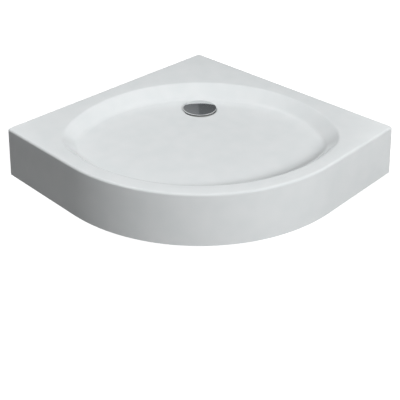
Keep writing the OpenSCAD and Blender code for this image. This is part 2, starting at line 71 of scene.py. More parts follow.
def addNode(tree, kind, inputs=None, stops=(), **settings):
    # a node with its links and settings; a colour ramp's stops are given as place and sRGB colour
    node = tree.nodes.new(kind)
    for name, value in settings.items():
        setattr(node, name, value)
    setInputs(tree, node, inputs or {})
    for k, (place, colour) in enumerate(stops):
        elements = node.color_ramp.elements
        element = elements[k] if k < len(elements) else elements.new(place)
        element.position = place
        element.color = toLinear(colour)
    return node


def polar(radius, angle):
    return Vector((radius * math.cos(angle), radius * math.sin(angle)))


def newPiece(name, data):
    piece = bpy.data.objects.new(name, data)
    bpy.context.scene.collection.objects.link(piece)
    return piece


def toMesh(name, points, faces):
    mesh = bpy.data.meshes.new(name)
    mesh.from_pydata(points, [], faces)
    mesh.update()
    return newPiece(name, mesh)


def rework(piece, change):
    # runs a change on the piece's mesh
    work = bmesh.new()
    work.from_mesh(piece.data)
    change(work)
    work.to_mesh(piece.data)
    work.free()


def smooth(piece, angle=35):
    piece.data.shade_smooth()
    piece.data.set_sharp_from_angle(angle=math.radians(angle))
    return piece


def tidyMesh(piece, smoothAngle=35, outwards=True):
    # merges doubles, turns the faces outwards and shades the piece smooth up to an angle
    def clean(work):
        bmesh.ops.remove_doubles(work, verts=work.verts, dist=1e-6)
        if outwards:
            bmesh.ops.recalc_face_normals(work, faces=work.faces)

    rework(piece, clean)
    return smooth(piece, smoothAngle)


def paint(piece, material):
    piece.data.materials.clear()
    piece.data.materials.append(material)


def settle(piece, body, slot, *nodes):
    # the piece rides on a body, takes its finish from a slot and stands for CAD nodes
    paint(piece, finishes[slot])
    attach(piece, body)
    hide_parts(*nodes)


def addModifier(piece, name, kind, **settings):
    modifier = piece.modifiers.new(name, kind)
    for label, value in settings.items():
        setattr(modifier, label, value)
    return modifier


def evaluated(piece):
    graph = bpy.context.evaluated_depsgraph_get()
    return bpy.data.meshes.new_from_object(piece.evaluated_get(graph))


def applyModifiers(piece):
    mesh = evaluated(piece)
    piece.modifiers.clear()
    piece.data = mesh


def rounded(points, radii, steps=6):
    # a polyline with its inner corners turned into arcs of the given radii
    path = [points[0]]
    straight = math.radians(89.5)  # half the angle of a corner that needs no arc
    for before, corner, after, radius in zip(points, points[1:], points[2:], radii):
        before, corner, after = Vector(before), Vector(corner), Vector(after)
        back = (before - corner).normalized()
        ahead = (after - corner).normalized()
        half = back.angle(ahead) / 2
        if radius < 1e-6 or half > straight:
            path.append(tuple(corner))
            continue
        centre = corner + (back + ahead).normalized() * (radius / math.sin(half))
        first = corner + back * (radius / math.tan(half)) - centre
        sweep = math.pi - 2 * half
        if first.cross(ahead) <= 0:
            sweep = -sweep
        path += [tuple(centre + Matrix.Rotation(sweep * j / steps, 2) @ first) for j in range(steps + 1)]
    path.append(points[-1])
    return path


def ringFaces(rings, count, closed=True, first=0):
    # quads from each ring of points to the next, and from the last back to the first where closed
    faces = []
    for k in range(rings if closed else rings - 1):
        here, there = first + k * count, first + (k + 1) % rings * count
        for i in range(count):
            j = (i + 1) % count
            faces.append((here + i, here + j, there + j, there + i))
    return faces


def turned(name, profile, place, segments=96):
    # a closed profile of radius and height spun round its axis and put in place
    points = []
    for i in range(segments):
        spin = Matrix.Rotation(fullTurn * i / segments, 4, "Z")
        points += [place @ spin @ Vector((r, 0, z)) for r, z in profile]
    piece = toMesh(name, points, ringFaces(segments, len(profile)))

    def closeAxis(work):
        bmesh.ops.remove_doubles(work, verts=work.verts, dist=1e-7)
        bmesh.ops.dissolve_degenerate(work, dist=1e-7, edges=work.edges)

    rework(piece, closeAxis)
    return tidyMesh(piece)


def prism(name, low, high):
    # a solid between two flat outlines with the same number of points
    count = len(low)
    faces = [tuple(range(count - 1, -1, -1)), tuple(range(count, 2 * count))]
    return toMesh(name, low + high, faces + ringFaces(2, count, False))


def wedge(name, points, thickness):
    # a flat outline of reach and height, given a thickness across
    low, high = ([(x, side * thickness / 2, z) for x, z in points] for side in (-1, 1))
    return tidyMesh(prism(name, low, high))


def join(name, *pieces):
    # joins meshes that stand at the origin into one
    work = bmesh.new()
    for piece in pieces:
        work.from_mesh(piece.data)
        bpy.data.objects.remove(piece)
    mesh = bpy.data.meshes.new(name)
    work.to_mesh(mesh)
    work.free()
    return smooth(newPiece(name, mesh))


# Materials: the sizes of their patterns are in metres too

def startMaterial(name, values):
    material = bpy.data.materials.new(name)
    material.use_nodes = True
    tree = material.node_tree
    shader = tree.nodes["Principled BSDF"]
    setInputs(tree, shader, values)
    place = addNode(tree, "ShaderNodeTexCoord").outputs["Object"]
    return material, tree, shader, place


def acrylicSheet():
    # Sanitary acrylic drawn hot over a mould: even white, a clear gloss,
    # and a long faint ripple in the reflections.
    material, tree, shader, place = startMaterial("AcrylicSheet", {"IOR": 1.49, "Specular IOR Level": 0.5})
    ripple, wiping, peel = (
        addNode(tree, "ShaderNodeTexNoise", {"Vector": place, "Scale": 1 / size, "Detail": detail})
        for size, detail in ((0.060, 1.5), (0.018, 4.0), (0.004, 2.0))
    )
    tone = addNode(tree, "ShaderNodeValToRGB", {"Fac": ripple}, [(0.3, "#E2E6E7"), (0.7, "#E6E9EA")])
    gloss = addNode(tree, "ShaderNodeMapRange", {"Value": wiping, "To Min": 0.14, "To Max": 0.20})
    waves = addNode(tree, "ShaderNodeBump", {"Height": ripple, "Strength": 0.25, "Distance": 0.0004})
    skin = addNode(tree, "ShaderNodeBump", {
        "Height": peel, "Strength": 0.12, "Distance": 0.00005, "Normal": waves,
    })
    setInputs(tree, shader, {"Base Color": tone, "Roughness": gloss, "Normal": skin})
    return material


def glassfibreLaminate():
    # Chopped strand mat in polyester resin: pale green-grey, half clear,
    # with strands lying every way and a wet gloss.
    material, tree, shader, place = startMaterial("GlassfibreLaminate", {"IOR": 1.54, "Roughness": 0.38})
    strandLength, strandWidth, resinStains = 0.040, 0.0016, 0.050
    layers = None
    for turn in ((0.2, 0.3, 0.1), (1.1, 0.2, 1.2), (0.4, 1.3, 2.1), (1.9, 0.8, 2.8), (2.6, 1.7, 0.7)):
        lay = addNode(tree, "ShaderNodeMapping", {
            "Vector": place, "Rotation": turn, "Scale": (strandLength, strandWidth, strandWidth),
        }, vector_type="TEXTURE")
        strands = addNode(tree, "ShaderNodeTexNoise", {"Vector": lay, "Scale": 1.0, "Detail": 0.0})
        if layers:
            strands = addNode(tree, "ShaderNodeMath", {0: layers, 1: strands}, operation="MAXIMUM")
        layers = strands
    resin = addNode(tree, "ShaderNodeTexNoise", {"Vector": place, "Scale": 1 / resinStains, "Detail": 3.0})
    tone = addNode(tree, "ShaderNodeValToRGB", {"Fac": layers},
                   [(0.52, "#9FA591"), (0.66, "#C3C8B4"), (0.78, "#DFE2D3")])
    stain = addNode(tree, "ShaderNodeValToRGB", {"Fac": resin}, [(0.35, "#CFCBAE"), (0.65, "#F2F4EE")])
    mixed = addNode(tree, "ShaderNodeMix", {"Factor": 0.8, 6: tone, 7: stain},
                    data_type="RGBA", blend_type="MULTIPLY")
    relief = addNode(tree, "ShaderNodeBump", {"Height": layers, "Strength": 0.9, "Distance": 0.0009})
    setInputs(tree, shader, {"Base Color": mixed.outputs[2], "Normal": relief})
    return material


def rawChipboard():
    # Pressed wood chips, sawn and left raw: small flakes of several browns, dull and a little rough.
    material, tree, shader, place = startMaterial("RawChipboard", {"Roughness": 0.82, "IOR": 1.46})
    chipLength, chipWidth, bendSize, bendReach = 0.009, 0.0025, 0.012, 0.010
    bend = addNode(tree, "ShaderNodeTexNoise", {"Vector": place, "Scale": 1 / bendSize, "Detail": 2.0})
    offset = addNode(tree, "ShaderNodeVectorMath", {0: bend.outputs["Color"], "Scale": bendReach},
                     operation="SCALE")
    moved = addNode(tree, "ShaderNodeVectorMath", {0: place, 1: offset}, operation="ADD")
    chips, tones = [], []
    for turn, stops in (
        ((0.0, 0.0, 0.3), [(0.1, "#A98455"), (0.5, "#C6A272"), (0.9, "#DCC199")]),
        ((0.1, 0.2, 1.7), [(0.1, "#9B7548"), (0.5, "#C9A878"), (0.9, "#E3CCA6")]),
    ):
        lay = addNode(tree, "ShaderNodeMapping", {
            "Vector": moved, "Rotation": turn, "Scale": (chipLength, chipWidth, chipWidth),
        }, vector_type="TEXTURE")
        flakes = addNode(tree, "ShaderNodeTexVoronoi", {"Vector": lay, "Scale": 1.0})
        tones.append(addNode(tree, "ShaderNodeValToRGB", {"Fac": flakes.outputs["Color"]}, stops))
        chips.append(flakes)
    mixed = addNode(tree, "ShaderNodeMix", {"Factor": bend, 6: tones[0], 7: tones[1]}, data_type="RGBA")
    relief = addNode(tree, "ShaderNodeBump", {"Height": chips[0], "Strength": 0.35, "Distance": 0.0004})
    setInputs(tree, shader, {"Base Color": mixed.outputs[2], "Normal": relief})
    return material


plainFinishes = {  # patterns as size and detail, the first for tone and gloss, the last for the relief
    # Injection moulded black nylon: a fine spark-eroded grain, drawn twice as coarse so that it shows.
    "black_plastic": {
        "name": "BlackNylon", "values": {"IOR": 1.53}, "patterns": ((0.015, 2.0), (0.0008, 2.0)),
        "tones": ((0.3, "#1E1F20"), (0.7, "#2A2B2C")), "gloss": (0.38, 0.52), "relief": (0.25, 0.0001),
    },
    # Bright zinc plate on steel: blue-grey metal with a cloudy, uneven gloss.
    "zinc": {
        "name": "BrightZinc", "values": {"Metallic": 1.0}, "patterns": ((0.006, 4.0),),
        "tones": ((0.35, "#B4B9BE"), (0.65, "#CDD0D3")), "gloss": (0.24, 0.42),
    },
    # Yellow passivated zinc: thin gold film that turns pink and green from place to place.
    "yellow_zinc": {
        "name": "YellowZinc", "values": {"Metallic": 1.0, "Roughness": 0.3}, "patterns": ((0.003, 2.0),),
        "tones": ((0.30, "#C79A5B"), (0.5, "#D4B45C"), (0.70, "#BDB868")),
    },
    # Grey moulded polypropylene: satin, with a soft bloom.
    "grey_plastic": {
        "name": "GreyPolypropylene", "values": {"IOR": 1.49}, "patterns": ((0.010, 3.0),),
        "tones": ((0.3, "#A3A5A3"), (0.7, "#ADAFAD")), "gloss": (0.32, 0.45),
    },
    # Soft black seal rubber: dull, with a grey bloom and a fine skin.
    "rubber": {
        "name": "NitrileRubber", "values": {"IOR": 1.52, "Roughness": 0.62}, "patterns": ((0.005, 4.0),),
        "tones": ((0.35, "#1A1B1B"), (0.7, "#2E2F2F")), "relief": (0.2, 0.0001),
    },
    # White moulded polypropylene: a soft satin gloss, milky, with slow waves where the wall cooled.
    "white_plastic": {
        "name": "WhitePolypropylene", "values": {"IOR": 1.49}, "patterns": ((0.022, 2.0),),
        "tones": ((0.3, "#E6E8E6"), (0.7, "#ECEEEC")), "gloss": (0.26, 0.36), "relief": (0.3, 0.0003),
    },
    # Chrome on a polished pressing: a mirror with hair-fine wiping marks.
    "chrome": {
        "name": "ChromePlate", "values": {"Metallic": 1.0}, "patterns": ((0.009, 5.0),),
        "tones": ((0.3, "#D9DBDC"), (0.7, "#DFE1E2")), "gloss": (0.05, 0.12),
    },
}
# painted shade on the cover's turned-down rim, for the shadowed gap under its edge: the rim's foot below the
# cover's top, and how far over the foot the colour is dark and then bright
rimShade = {"foot": 0.0066, "dark": 0.0026, "bright": 0.0030, "tone": "#2E3031"}


def plainFinish(form):
    material, tree, shader, place = startMaterial(form["name"], form["values"])
    patterns = [
        addNode(tree, "ShaderNodeTexNoise", {"Vector": place, "Scale": 1 / size, "Detail": detail})
        for size, detail in form["patterns"]
    ]
    tone = addNode(tree, "ShaderNodeValToRGB", {"Fac": patterns[0]}, form["tones"])
    setInputs(tree, shader, {"Base Color": tone})
    if "gloss" in form:
        low, high = form["gloss"]
        gloss = addNode(tree, "ShaderNodeMapRange", {"Value": patterns[0], "To Min": low, "To Max": high})
        setInputs(tree, shader, {"Roughness": gloss})
    if "relief" in form:
        strength, depth = form["relief"]
        relief = addNode(tree, "ShaderNodeBump", {
            "Height": patterns[-1], "Strength": strength, "Distance": depth,
        })
        setInputs(tree, shader, {"Normal": relief})
    return material


def paintRimShade(material):
    # painted shade: dark colour low on the cover's turned-down rim, where the gap under the cover lies in
    # shadow
    tree, shader = material.node_tree, material.node_tree.nodes["Principled BSDF"]
    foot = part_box("cap")[1].z - rimShade["foot"]
    place = addNode(tree, "ShaderNodeTexCoord")
    height = addNode(tree, "ShaderNodeSeparateXYZ", {0: place.outputs["Object"]})
    # share of painted shade, full at the rim's foot and none higher up
    shadeShare = addNode(tree, "ShaderNodeMapRange", {
        "Value": height.outputs["Z"], "To Min": 1.0, "To Max": 0.0,
        "From Min": foot + rimShade["dark"], "From Max": foot + rimShade["bright"],
    })
    bright = shader.inputs["Base Color"].links[0].from_socket
    # mixes the painted shade's dark tone over the chrome's own tone
    shadedTone = addNode(tree, "ShaderNodeMix", {"Factor": shadeShare, 6: bright, 7: toLinear(rimShade["tone"])},
                     data_type="RGBA")
    setInputs(tree, shader, {"Base Color": shadedTone.outputs[2]})


finishes = {"acrylic": acrylicSheet(), "backing": glassfibreLaminate(), "board": rawChipboard()}
for slotName, slotForm in plainFinishes.items():
    finishes[slotName] = plainFinish(slotForm)
# paints shade low on the chrome cover's rim
paintRimShade(finishes["chrome"])
print("materials:", len(finishes))


# Tray shell and its backing

tray = {  # as the source's tray has them
    "side": 0.900, "frontRadius": 0.550, "height": 0.170, "lean": 0.009, "endCorner": 0.012,
    "wallCorner": 0.014, "edge": 0.008, "lip": 0.038, "returnWidth": 0.045, "sheet": 0.004,
    "leastCorner": 0.001, "leastEdge": 0.0003, "arcSteps": (120, 20, 20, 20), "sideSteps": (16, 60, 60, 16),
}
basin = {
    "frontDeck": 0.053, "backDeck": 0.284, "backRadius": 0.450, "endRadius": 0.165,
    "depth": 0.045, "fall": 0.020,
    "wall": (0.042, 0.056, 0.064), "foot": (0.022, 0.026, 0.032),  # at the front, the ends and the back
    "rim": 0.012, "floorRings": 8, "footRings": 12, "rimRings": 10, "edgeRings": 8,
}
drain = {
    "toWall": 0.293, "hole": 0.045, "recess": 0.0565, "slope": 0.002, "depth": 0.006,
    "run": 0.006, "footRound": 0.0010, "topRound": 0.0022,
}
laminate = {
    "gap": 0.0043, "thickness": 0.0025, "foot": 0.022, "lipStart": 0.006, "bed": 0.0008,
    "rough": 0.0005, "bunch": 0.009, "strand": 0.003, "strandShare": 0.5, "raised": 0.4,
}

halfSide = tray["side"] / 2
lean = tray["lean"] / tray["height"]
drainPoint = Vector((drain["toWall"] - halfSide, halfSide - drain["toWall"]))
drainHeight = tray["height"] - basin["depth"]
recessTop = drain["recess"] + drain["slope"]
recessSlant = math.atan2(drain["depth"], drain["slope"])
lipHeight = tray["height"] - tray["lip"]


def solveOval():
    # centres of the oval's arcs in its own axes, and the angles at which they meet
    front = Vector((0, (2 * tray["frontRadius"] - tray["side"]) / math.sqrt(2)))
    frontArc = tray["frontRadius"] - basin["frontDeck"]
    back = Vector((0, tray["side"] / math.sqrt(2) - basin["backDeck"] - basin["backRadius"]))
    backReach = basin["backRadius"] - basin["endRadius"]
    endY = (front.y ** 2 - back.y ** 2 - (frontArc - basin["endRadius"]) ** 2 + backReach ** 2)
    endY /= 2 * (front.y - back.y)
    endX = math.sqrt(backReach ** 2 - (endY - back.y) ** 2)
    return {
        "front": front, "back": back, "end": Vector((endX, endY)), "frontArc": frontArc,
        "frontTurn": math.atan2(endY - front.y, endX), "backTurn": math.atan2(endY - back.y, endX),
    }


ovalArcs = solveOval()


def ovalPoint(angle, inset):
    # point of the basin's oval whose wall faces an angle, drawn in by an inset, in the axes along the walls
    side = -1 if math.cos(angle) < 0 else 1
    turn = math.atan2(math.sin(angle), abs(math.cos(angle)))
    if turn > ovalArcs["backTurn"]:
        centre, radius = ovalArcs["back"], basin["backRadius"]
    elif turn < ovalArcs["frontTurn"]:
        centre, radius = ovalArcs["front"], ovalArcs["frontArc"]
    else:
        centre, radius = Vector((side * ovalArcs["end"].x, ovalArcs["end"].y)), basin["endRadius"]
    p = centre + polar(radius - inset, angle)
    return Vector((p.x - p.y, p.x + p.y)) / math.sqrt(2)


def roundOval(angle, front, end, back):
    return end + (back - end if math.sin(angle) > 0 else front - end) * math.sin(angle) ** 2


def wallWidth(angle):
    return roundOval(angle, *basin["wall"])


def footRadius(angle):
    return roundOval(angle, *basin["foot"])


def floorHeight(p):
    return drainHeight + basin["fall"] * max(0, (Vector(p[:2]) - drainPoint).length - recessTop)


def stationAngles():
    # one angle of the oval for each station of the outline, spread evenly in each quarter
    arcs, sides = tray["arcSteps"], tray["sideSteps"]
    spread = []
    for k in range(4):
        count = arcs[k] + 1 + sides[k] // 2 + sides[k - 1] // 2
        spread += [quarterTurn * (3 + k + (j + 0.5) / count) for j in range(count)]
    shift = sides[3] // 2  # the outline starts at the front arc, half a side after the quarter does
    return [a - math.pi / 4 for a in spread[shift:] + spread[:shift]]


angles = stationAngles()
stations = len(angles)


def outlineRing(inset, z):
    # points round the four sides at a height, inset from the outline at the floor
    arcs = []
    for k, corner in enumerate((None, tray["endCorner"], tray["wallCorner"], tray["endCorner"])):
        if k == 0:
            radius = tray["frontRadius"] - inset
            centre = Vector((halfSide - tray["frontRadius"], tray["frontRadius"] - halfSide))
        else:
            radius = max(tray["leastCorner"], corner - inset + z * lean)
            reach = halfSide - inset - radius
            centre = Vector((reach if k == 1 else -reach, -reach if k == 3 else reach))
        steps = tray["arcSteps"][k]
        arcs.append([centre + polar(radius, quarterTurn * (3 + k + j / steps)) for j in range(steps + 1)])
    ring = []
    for k, arc in enumerate(arcs):
        first, last = arc[-1], arcs[(k + 1) % 4][0]
        count = tray["sideSteps"][k]
        shares = [(j + 1) / (count + 1) for j in range(count)]
        if k == 1:  # the first point of one wall and the last of the other end the apron's returns
            shares[0] = (first.x - halfSide + tray["returnWidth"]) / (first.x - last.x)
        if k == 2:
            shares[-1] = 1 + (last.y + halfSide - tray["returnWidth"]) / (first.y - last.y)
        ring += arc + [first.lerp(last, share) for share in shares]
    return [(p.x, p.y, z) for p in ring]


returnRight = tray["arcSteps"][0] + 1 + tray["sideSteps"][0] + tray["arcSteps"][1] + 1
returnLeft = returnRight + tray["sideSteps"][1] + tray["arcSteps"][2] + 1 + tray["sideSteps"][2] - 1


def edgeRing(share, inset):
    # ring on the rounding from the deck to the sides
    slant = math.atan(lean)
    turn = share * (quarterTurn - slant)
    low = tray["height"] - tray["edge"]
    radius = max(tray["leastEdge"], tray["edge"] - inset)
    back = tray["edge"] - inset - radius
    out = low * lean + (tray["edge"] - back) / math.cos(slant) - radius * math.sin(turn)
    return outlineRing(out, low + back + radius * math.cos(turn))


def wallTurn(angle):
    # steepness of the basin wall between its two roundings
    width = wallWidth(angle)
    height = tray["height"] - floorHeight(ovalPoint(angle, width))
    radius = basin["rim"] + footRadius(angle)
    return math.asin(radius / math.hypot(width, height - radius)) + math.atan2(height - radius, width)


def rimRing(share, inset):
    ring = []
    for a in angles:
        turn = share * wallTurn(a)
        p = ovalPoint(a, (basin["rim"] - inset) * math.sin(turn))
        ring.append((*p, tray["height"] - basin["rim"] + (basin["rim"] - inset) * math.cos(turn)))
    return ring


def footRing(share, inset):
    ring = []
    for a in angles:
        turn = share * wallTurn(a)
        width, radius = wallWidth(a), footRadius(a)
        low = floorHeight(ovalPoint(a, width))
        p = ovalPoint(a, width - (radius + inset) * math.sin(turn))
        ring.append((*p, low + radius - (radius + inset) * math.cos(turn)))
    return ring


def drainRing(radius, z):
    return [(*(drainPoint + polar(radius, a + math.pi / 4)), z) for a in angles]


def recessRings(inset):
    # from the hole over the rounded step of the recess to the floor
    shift = inset * math.tan(recessSlant / 2)
    low, high = drainHeight - drain["depth"] - inset, drainHeight - inset
    profile = rounded(
        [(drain["hole"], low), (drain["recess"] + shift, low), (recessTop + shift, high),
         (recessTop + drain["run"], high + basin["fall"] * drain["run"])],
        [drain["footRound"] + inset, max(tray["leastEdge"], drain["topRound"] - inset)],
    )
    return [drainRing(r, z) for r, z in profile]


def floorRings(start, inset):
    # rings between the recess and the foot of the basin wall
    end, count = footRing(0, 0), basin["floorRings"]
    rings = []
    for j in range(1, count):
        ring = [Vector(a).lerp(Vector(b), j / count) for a, b in zip(start, end)]
        rings.append([(p.x, p.y, floorHeight(p) - inset) for p in ring])
    return rings


def wallRings(inset):
    # up the basin wall, over the rim and the deck to the end of the rounding at the sides
    footCount, rimCount, edgeCount = basin["footRings"], basin["rimRings"], basin["edgeRings"]
    return (
        [footRing(j / footCount, inset) for j in range(footCount + 1)]
        + [rimRing(j / rimCount, inset) for j in range(rimCount, -1, -1)]
        + [edgeRing(j / edgeCount, inset) for j in range(edgeCount + 1)]
    )


def apronRing(inset, z):
    return outlineRing(z * lean + inset / math.cos(math.atan(lean)), z)


def closedSkin(name, outer, inner, outerFoot, innerFoot):
    # joins two skins at the drain hole and at their lower edge; the apron hangs from the fronts alone
    points = [p for ring in outer + inner + [outerFoot, innerFoot] for p in ring]
    innerBase = len(outer) * stations
    faces = ringFaces(len(outer), stations, False)
    faces += [face[::-1] for face in ringFaces(len(inner), stations, False, innerBase)]
    outerLow = innerBase + len(inner) * stations
    innerLow = outerLow + stations
    outerLip, innerLip = innerBase - stations, outerLow - stations
    for i in range(stations):
        j = (i + 1) % stations
        faces.append((innerBase + i, innerBase + j, j, i))
        if returnRight <= i < returnLeft:  # the lip along the walls
            faces.append((outerLip + i, outerLip + j, innerLip + j, innerLip + i))
        else:
            faces.append((outerLip + i, outerLip + j, outerLow + j, outerLow + i))
            faces.append((innerLip + j, innerLip + i, innerLow + i, innerLow + j))
            faces.append((outerLow + i, outerLow + j, innerLow + j, innerLow + i))
    for i in (returnRight, returnLeft):
        faces.append((outerLip + i, outerLow + i, innerLow + i, innerLip + i))
    piece = toMesh(name, points, faces)
    rework(piece, lambda work: bmesh.ops.delete(
        work, geom=[v for v in work.verts if not v.link_faces], context="VERTS"))
    return tidyMesh(piece, 40)


def makeShell():
    skins = []
    for inset in (0, tray["sheet"]):
        recess = recessRings(inset)
        skins.append(
            recess + floorRings(recess[-1], inset) + wallRings(inset) + [apronRing(inset, lipHeight)])
    shell = closedSkin("acrylicShell", *skins, apronRing(0, 0), apronRing(tray["sheet"], 0))
    settle(shell, "tray", "acrylic", "tray_shell")


def roughened(ring, other):
    # the laid surface of the mat: every point drawn a little towards the mould side, by noise
    moved = []
    for p, q in zip(ring, other):
        p, q = Vector(p), Vector(q)
        lie = noise.noise(p / laminate["bunch"])
        lie += laminate["strandShare"] * noise.noise(p / laminate["strand"]) + laminate["raised"]
        moved.append(tuple(p + (q - p).normalized() * laminate["rough"] * max(0, lie)))
    return moved


def makeBacking():
    near = laminate["gap"]
    far = near + laminate["thickness"]
    lip = lipHeight + laminate["lipStart"]
    nearWall, farWall = (wallRings(inset) + [apronRing(inset, lip)] for inset in (near, far))
    recess = recessRings(near)
    outer = recess + floorRings(recess[-1], near) + nearWall
    shift = far * math.tan(recessSlant / 2)
    low, boardTop = drainHeight - drain["depth"] - far, drainHeight - far - laminate["bed"]
    bed = [
        drainRing(drain["hole"], low),
        drainRing(drain["recess"] + shift, low),
        drainRing(recessTop + shift, boardTop),
        [(p[0], p[1], boardTop) for p in footRing(0, 0)],
    ]
    laid = [roughened(a, b) for a, b in zip(farWall, nearWall)]
    lowNear, lowFar = (apronRing(inset, laminate["foot"]) for inset in (near, far))
    backing = closedSkin("glassfibreSkin", outer, bed + laid, lowNear, roughened(lowFar, lowNear))
    settle(backing, "tray", "backing", "glassfibre_backing")


makeShell()
makeBacking()
print("shell and backing:", stations, "stations")


# Trees of what repeats or follows a path

def newTree(name, inputs):
    # a Geometry Nodes tree with named inputs; gives the tree and its inputs
    tree = bpy.data.node_groups.new(name, "GeometryNodeTree")
    for label, kind in {"Geometry": "Geometry", **inputs, "Material": "Material"}.items():
        tree.interface.new_socket(label, in_out="INPUT", socket_type="NodeSocket" + kind)
    tree.interface.new_socket("Geometry", in_out="OUTPUT", socket_type="NodeSocketGeometry")
    return tree, tree.nodes.new("NodeGroupInput").outputs


def endTree(tree, last, given):
    real = addNode(tree, "GeometryNodeRealizeInstances", {"Geometry": last})
    finished = addNode(tree, "GeometryNodeSetMaterial", {"Geometry": real, "Material": given["Material"]})
    addNode(tree, "NodeGroupOutput", {0: finished})
    return tree


def grow(name, tree, values, carrier=None):
    # runs a tree on a carrier and gives the result as a plain mesh
    carrier = carrier or toMesh(name + "Carrier", [], [])
    modifier = addModifier(carrier, "grow", "NODES", node_group=tree)
    for item in tree.interface.items_tree:
        if item.item_type == "SOCKET" and item.in_out == "INPUT" and item.name in values:
            modifier[item.identifier] = values[item.name]
    mesh = evaluated(carrier)
    bpy.data.objects.remove(carrier)
    mesh.name = name
    return newPiece(name, mesh)


def onCircle(tree, angle, radius, height=0.0):
    # the point at an angle, a radius and a height
    cosine = addNode(tree, "ShaderNodeMath", {0: angle}, operation="COSINE")
    sine = addNode(tree, "ShaderNodeMath", {0: angle}, operation="SINE")
    x = addNode(tree, "ShaderNodeMath", {0: cosine, 1: radius}, operation="MULTIPLY")
    y = addNode(tree, "ShaderNodeMath", {0: sine, 1: radius}, operation="MULTIPLY")
    return addNode(tree, "ShaderNodeCombineXYZ", {"X": x, "Y": y, "Z": height})


def startGrid(tree, rows, given):
    # a flat grid, and each point's share of the way around and along it
    columns = addNode(tree, "ShaderNodeMath", {0: given["Around"], 1: 1.0}, operation="ADD")
    grid = addNode(tree, "GeometryNodeMeshGrid", {
        "Size X": 1.0, "Size Y": 1.0, "Vertices X": columns, "Vertices Y": rows,
    })
    here = addNode(tree, "GeometryNodeInputPosition")
    share = addNode(tree, "ShaderNodeVectorMath", {0: here, 1: (0.5, 0.5, 0.0)}, operation="ADD")
    parts = addNode(tree, "ShaderNodeSeparateXYZ", {0: share})
    return grid, parts.outputs["X"], parts.outputs["Y"]


def rollGrid(tree, grid, around, radius, height):
    # bends the grid round the axis and closes its seam
    angle = addNode(tree, "ShaderNodeMath", {0: around, 1: fullTurn}, operation="MULTIPLY")
    spot = onCircle(tree, angle, radius, height)
    placed = addNode(tree, "GeometryNodeSetPosition", {"Geometry": grid, "Position": spot})
    return addNode(tree, "GeometryNodeMergeByDistance", {"Geometry": placed, "Distance": 1e-5})


def threadTree():
    # a rod with a vee thread: its radius follows height and turn, and the thread runs out at both ends
    tree, given = newTree("threadedRod", {
        "Length": "Float", "Crest": "Float", "Root": "Float", "Pitch": "Float",
        "Rows": "Int", "Around": "Int",
    })
    rows = addNode(tree, "ShaderNodeMath", {0: given["Rows"], 1: 1.0}, operation="ADD")
    grid, around, along = startGrid(tree, rows, given)
    height = addNode(tree, "ShaderNodeMath", {0: along, 1: given["Length"]}, operation="MULTIPLY")
    turns = addNode(tree, "ShaderNodeMath", {0: height, 1: given["Pitch"]}, operation="DIVIDE")
    wound = addNode(tree, "ShaderNodeMath", {0: turns, 1: around}, operation="SUBTRACT")
    saw = addNode(tree, "ShaderNodeMath", {0: wound}, operation="FRACT")
    wave = addNode(tree, "ShaderNodeMath", {0: saw, 1: 2.0, 2: -1.0}, operation="MULTIPLY_ADD")
    ridge = addNode(tree, "ShaderNodeMath", {0: wave}, operation="ABSOLUTE")
    fromTop = addNode(tree, "ShaderNodeMath", {0: given["Length"], 1: height}, operation="SUBTRACT")
    toEnd = addNode(tree, "ShaderNodeMath", {0: height, 1: fromTop}, operation="MINIMUM")
    taper = addNode(tree, "ShaderNodeMath", {0: toEnd, 1: given["Pitch"]},
                    operation="DIVIDE", use_clamp=True)
    faded = addNode(tree, "ShaderNodeMath", {0: ridge, 1: taper}, operation="MULTIPLY")
    depth = addNode(tree, "ShaderNodeMath", {0: given["Crest"], 1: given["Root"]}, operation="SUBTRACT")
    radius = addNode(tree, "ShaderNodeMath", {0: faded, 1: depth, 2: given["Root"]},
                     operation="MULTIPLY_ADD")
    inside = addNode(tree, "ShaderNodeMath", {0: toEnd, 1: 1e-6}, operation="GREATER_THAN")
    closed = addNode(tree, "ShaderNodeMath", {0: radius, 1: inside}, operation="MULTIPLY")
    return endTree(tree, rollGrid(tree, grid, around, closed, height), given)


def ringTree():
    # copies of a piece on a ring, and the ring on every point of the carrier
    tree, given = newTree("piecesOnRing", {
        "Piece": "Object", "Count": "Int", "Radius": "Float", "Turn": "Float",
    })
    index = addNode(tree, "GeometryNodeInputIndex")
    share = addNode(tree, "ShaderNodeMath", {0: index, 1: given["Count"]}, operation="DIVIDE")
    angle = addNode(tree, "ShaderNodeMath", {0: share, 1: fullTurn, 2: given["Turn"]},
                    operation="MULTIPLY_ADD")
    spot = onCircle(tree, angle, given["Radius"])
    spots = addNode(tree, "GeometryNodePoints", {"Count": given["Count"], "Position": spot})
    facing = addNode(tree, "ShaderNodeCombineXYZ", {"Z": angle})
    turn = addNode(tree, "FunctionNodeEulerToRotation", {0: facing})
    piece = addNode(tree, "GeometryNodeObjectInfo", {"Object": given["Piece"], "As Instance": True})
    ring = addNode(tree, "GeometryNodeInstanceOnPoints", {
        "Points": spots, "Instance": piece.outputs["Geometry"], "Rotation": turn,
    })
    rings = addNode(tree, "GeometryNodeInstanceOnPoints", {"Points": given["Geometry"], "Instance": ring})
    return endTree(tree, rings, given)


def pipeTree():
    # a pipe's outer face swept along the carrier's curve
    tree, given = newTree("pipeOnPath", {"Radius": "Float", "Around": "Int"})
    section = addNode(tree, "GeometryNodeCurvePrimitiveCircle", {
        "Resolution": given["Around"], "Radius": given["Radius"],
    }, mode="RADIUS")
    swept = addNode(tree, "GeometryNodeCurveToMesh", {"Curve": given["Geometry"], "Profile Curve": section})
    return endTree(tree, swept, given)


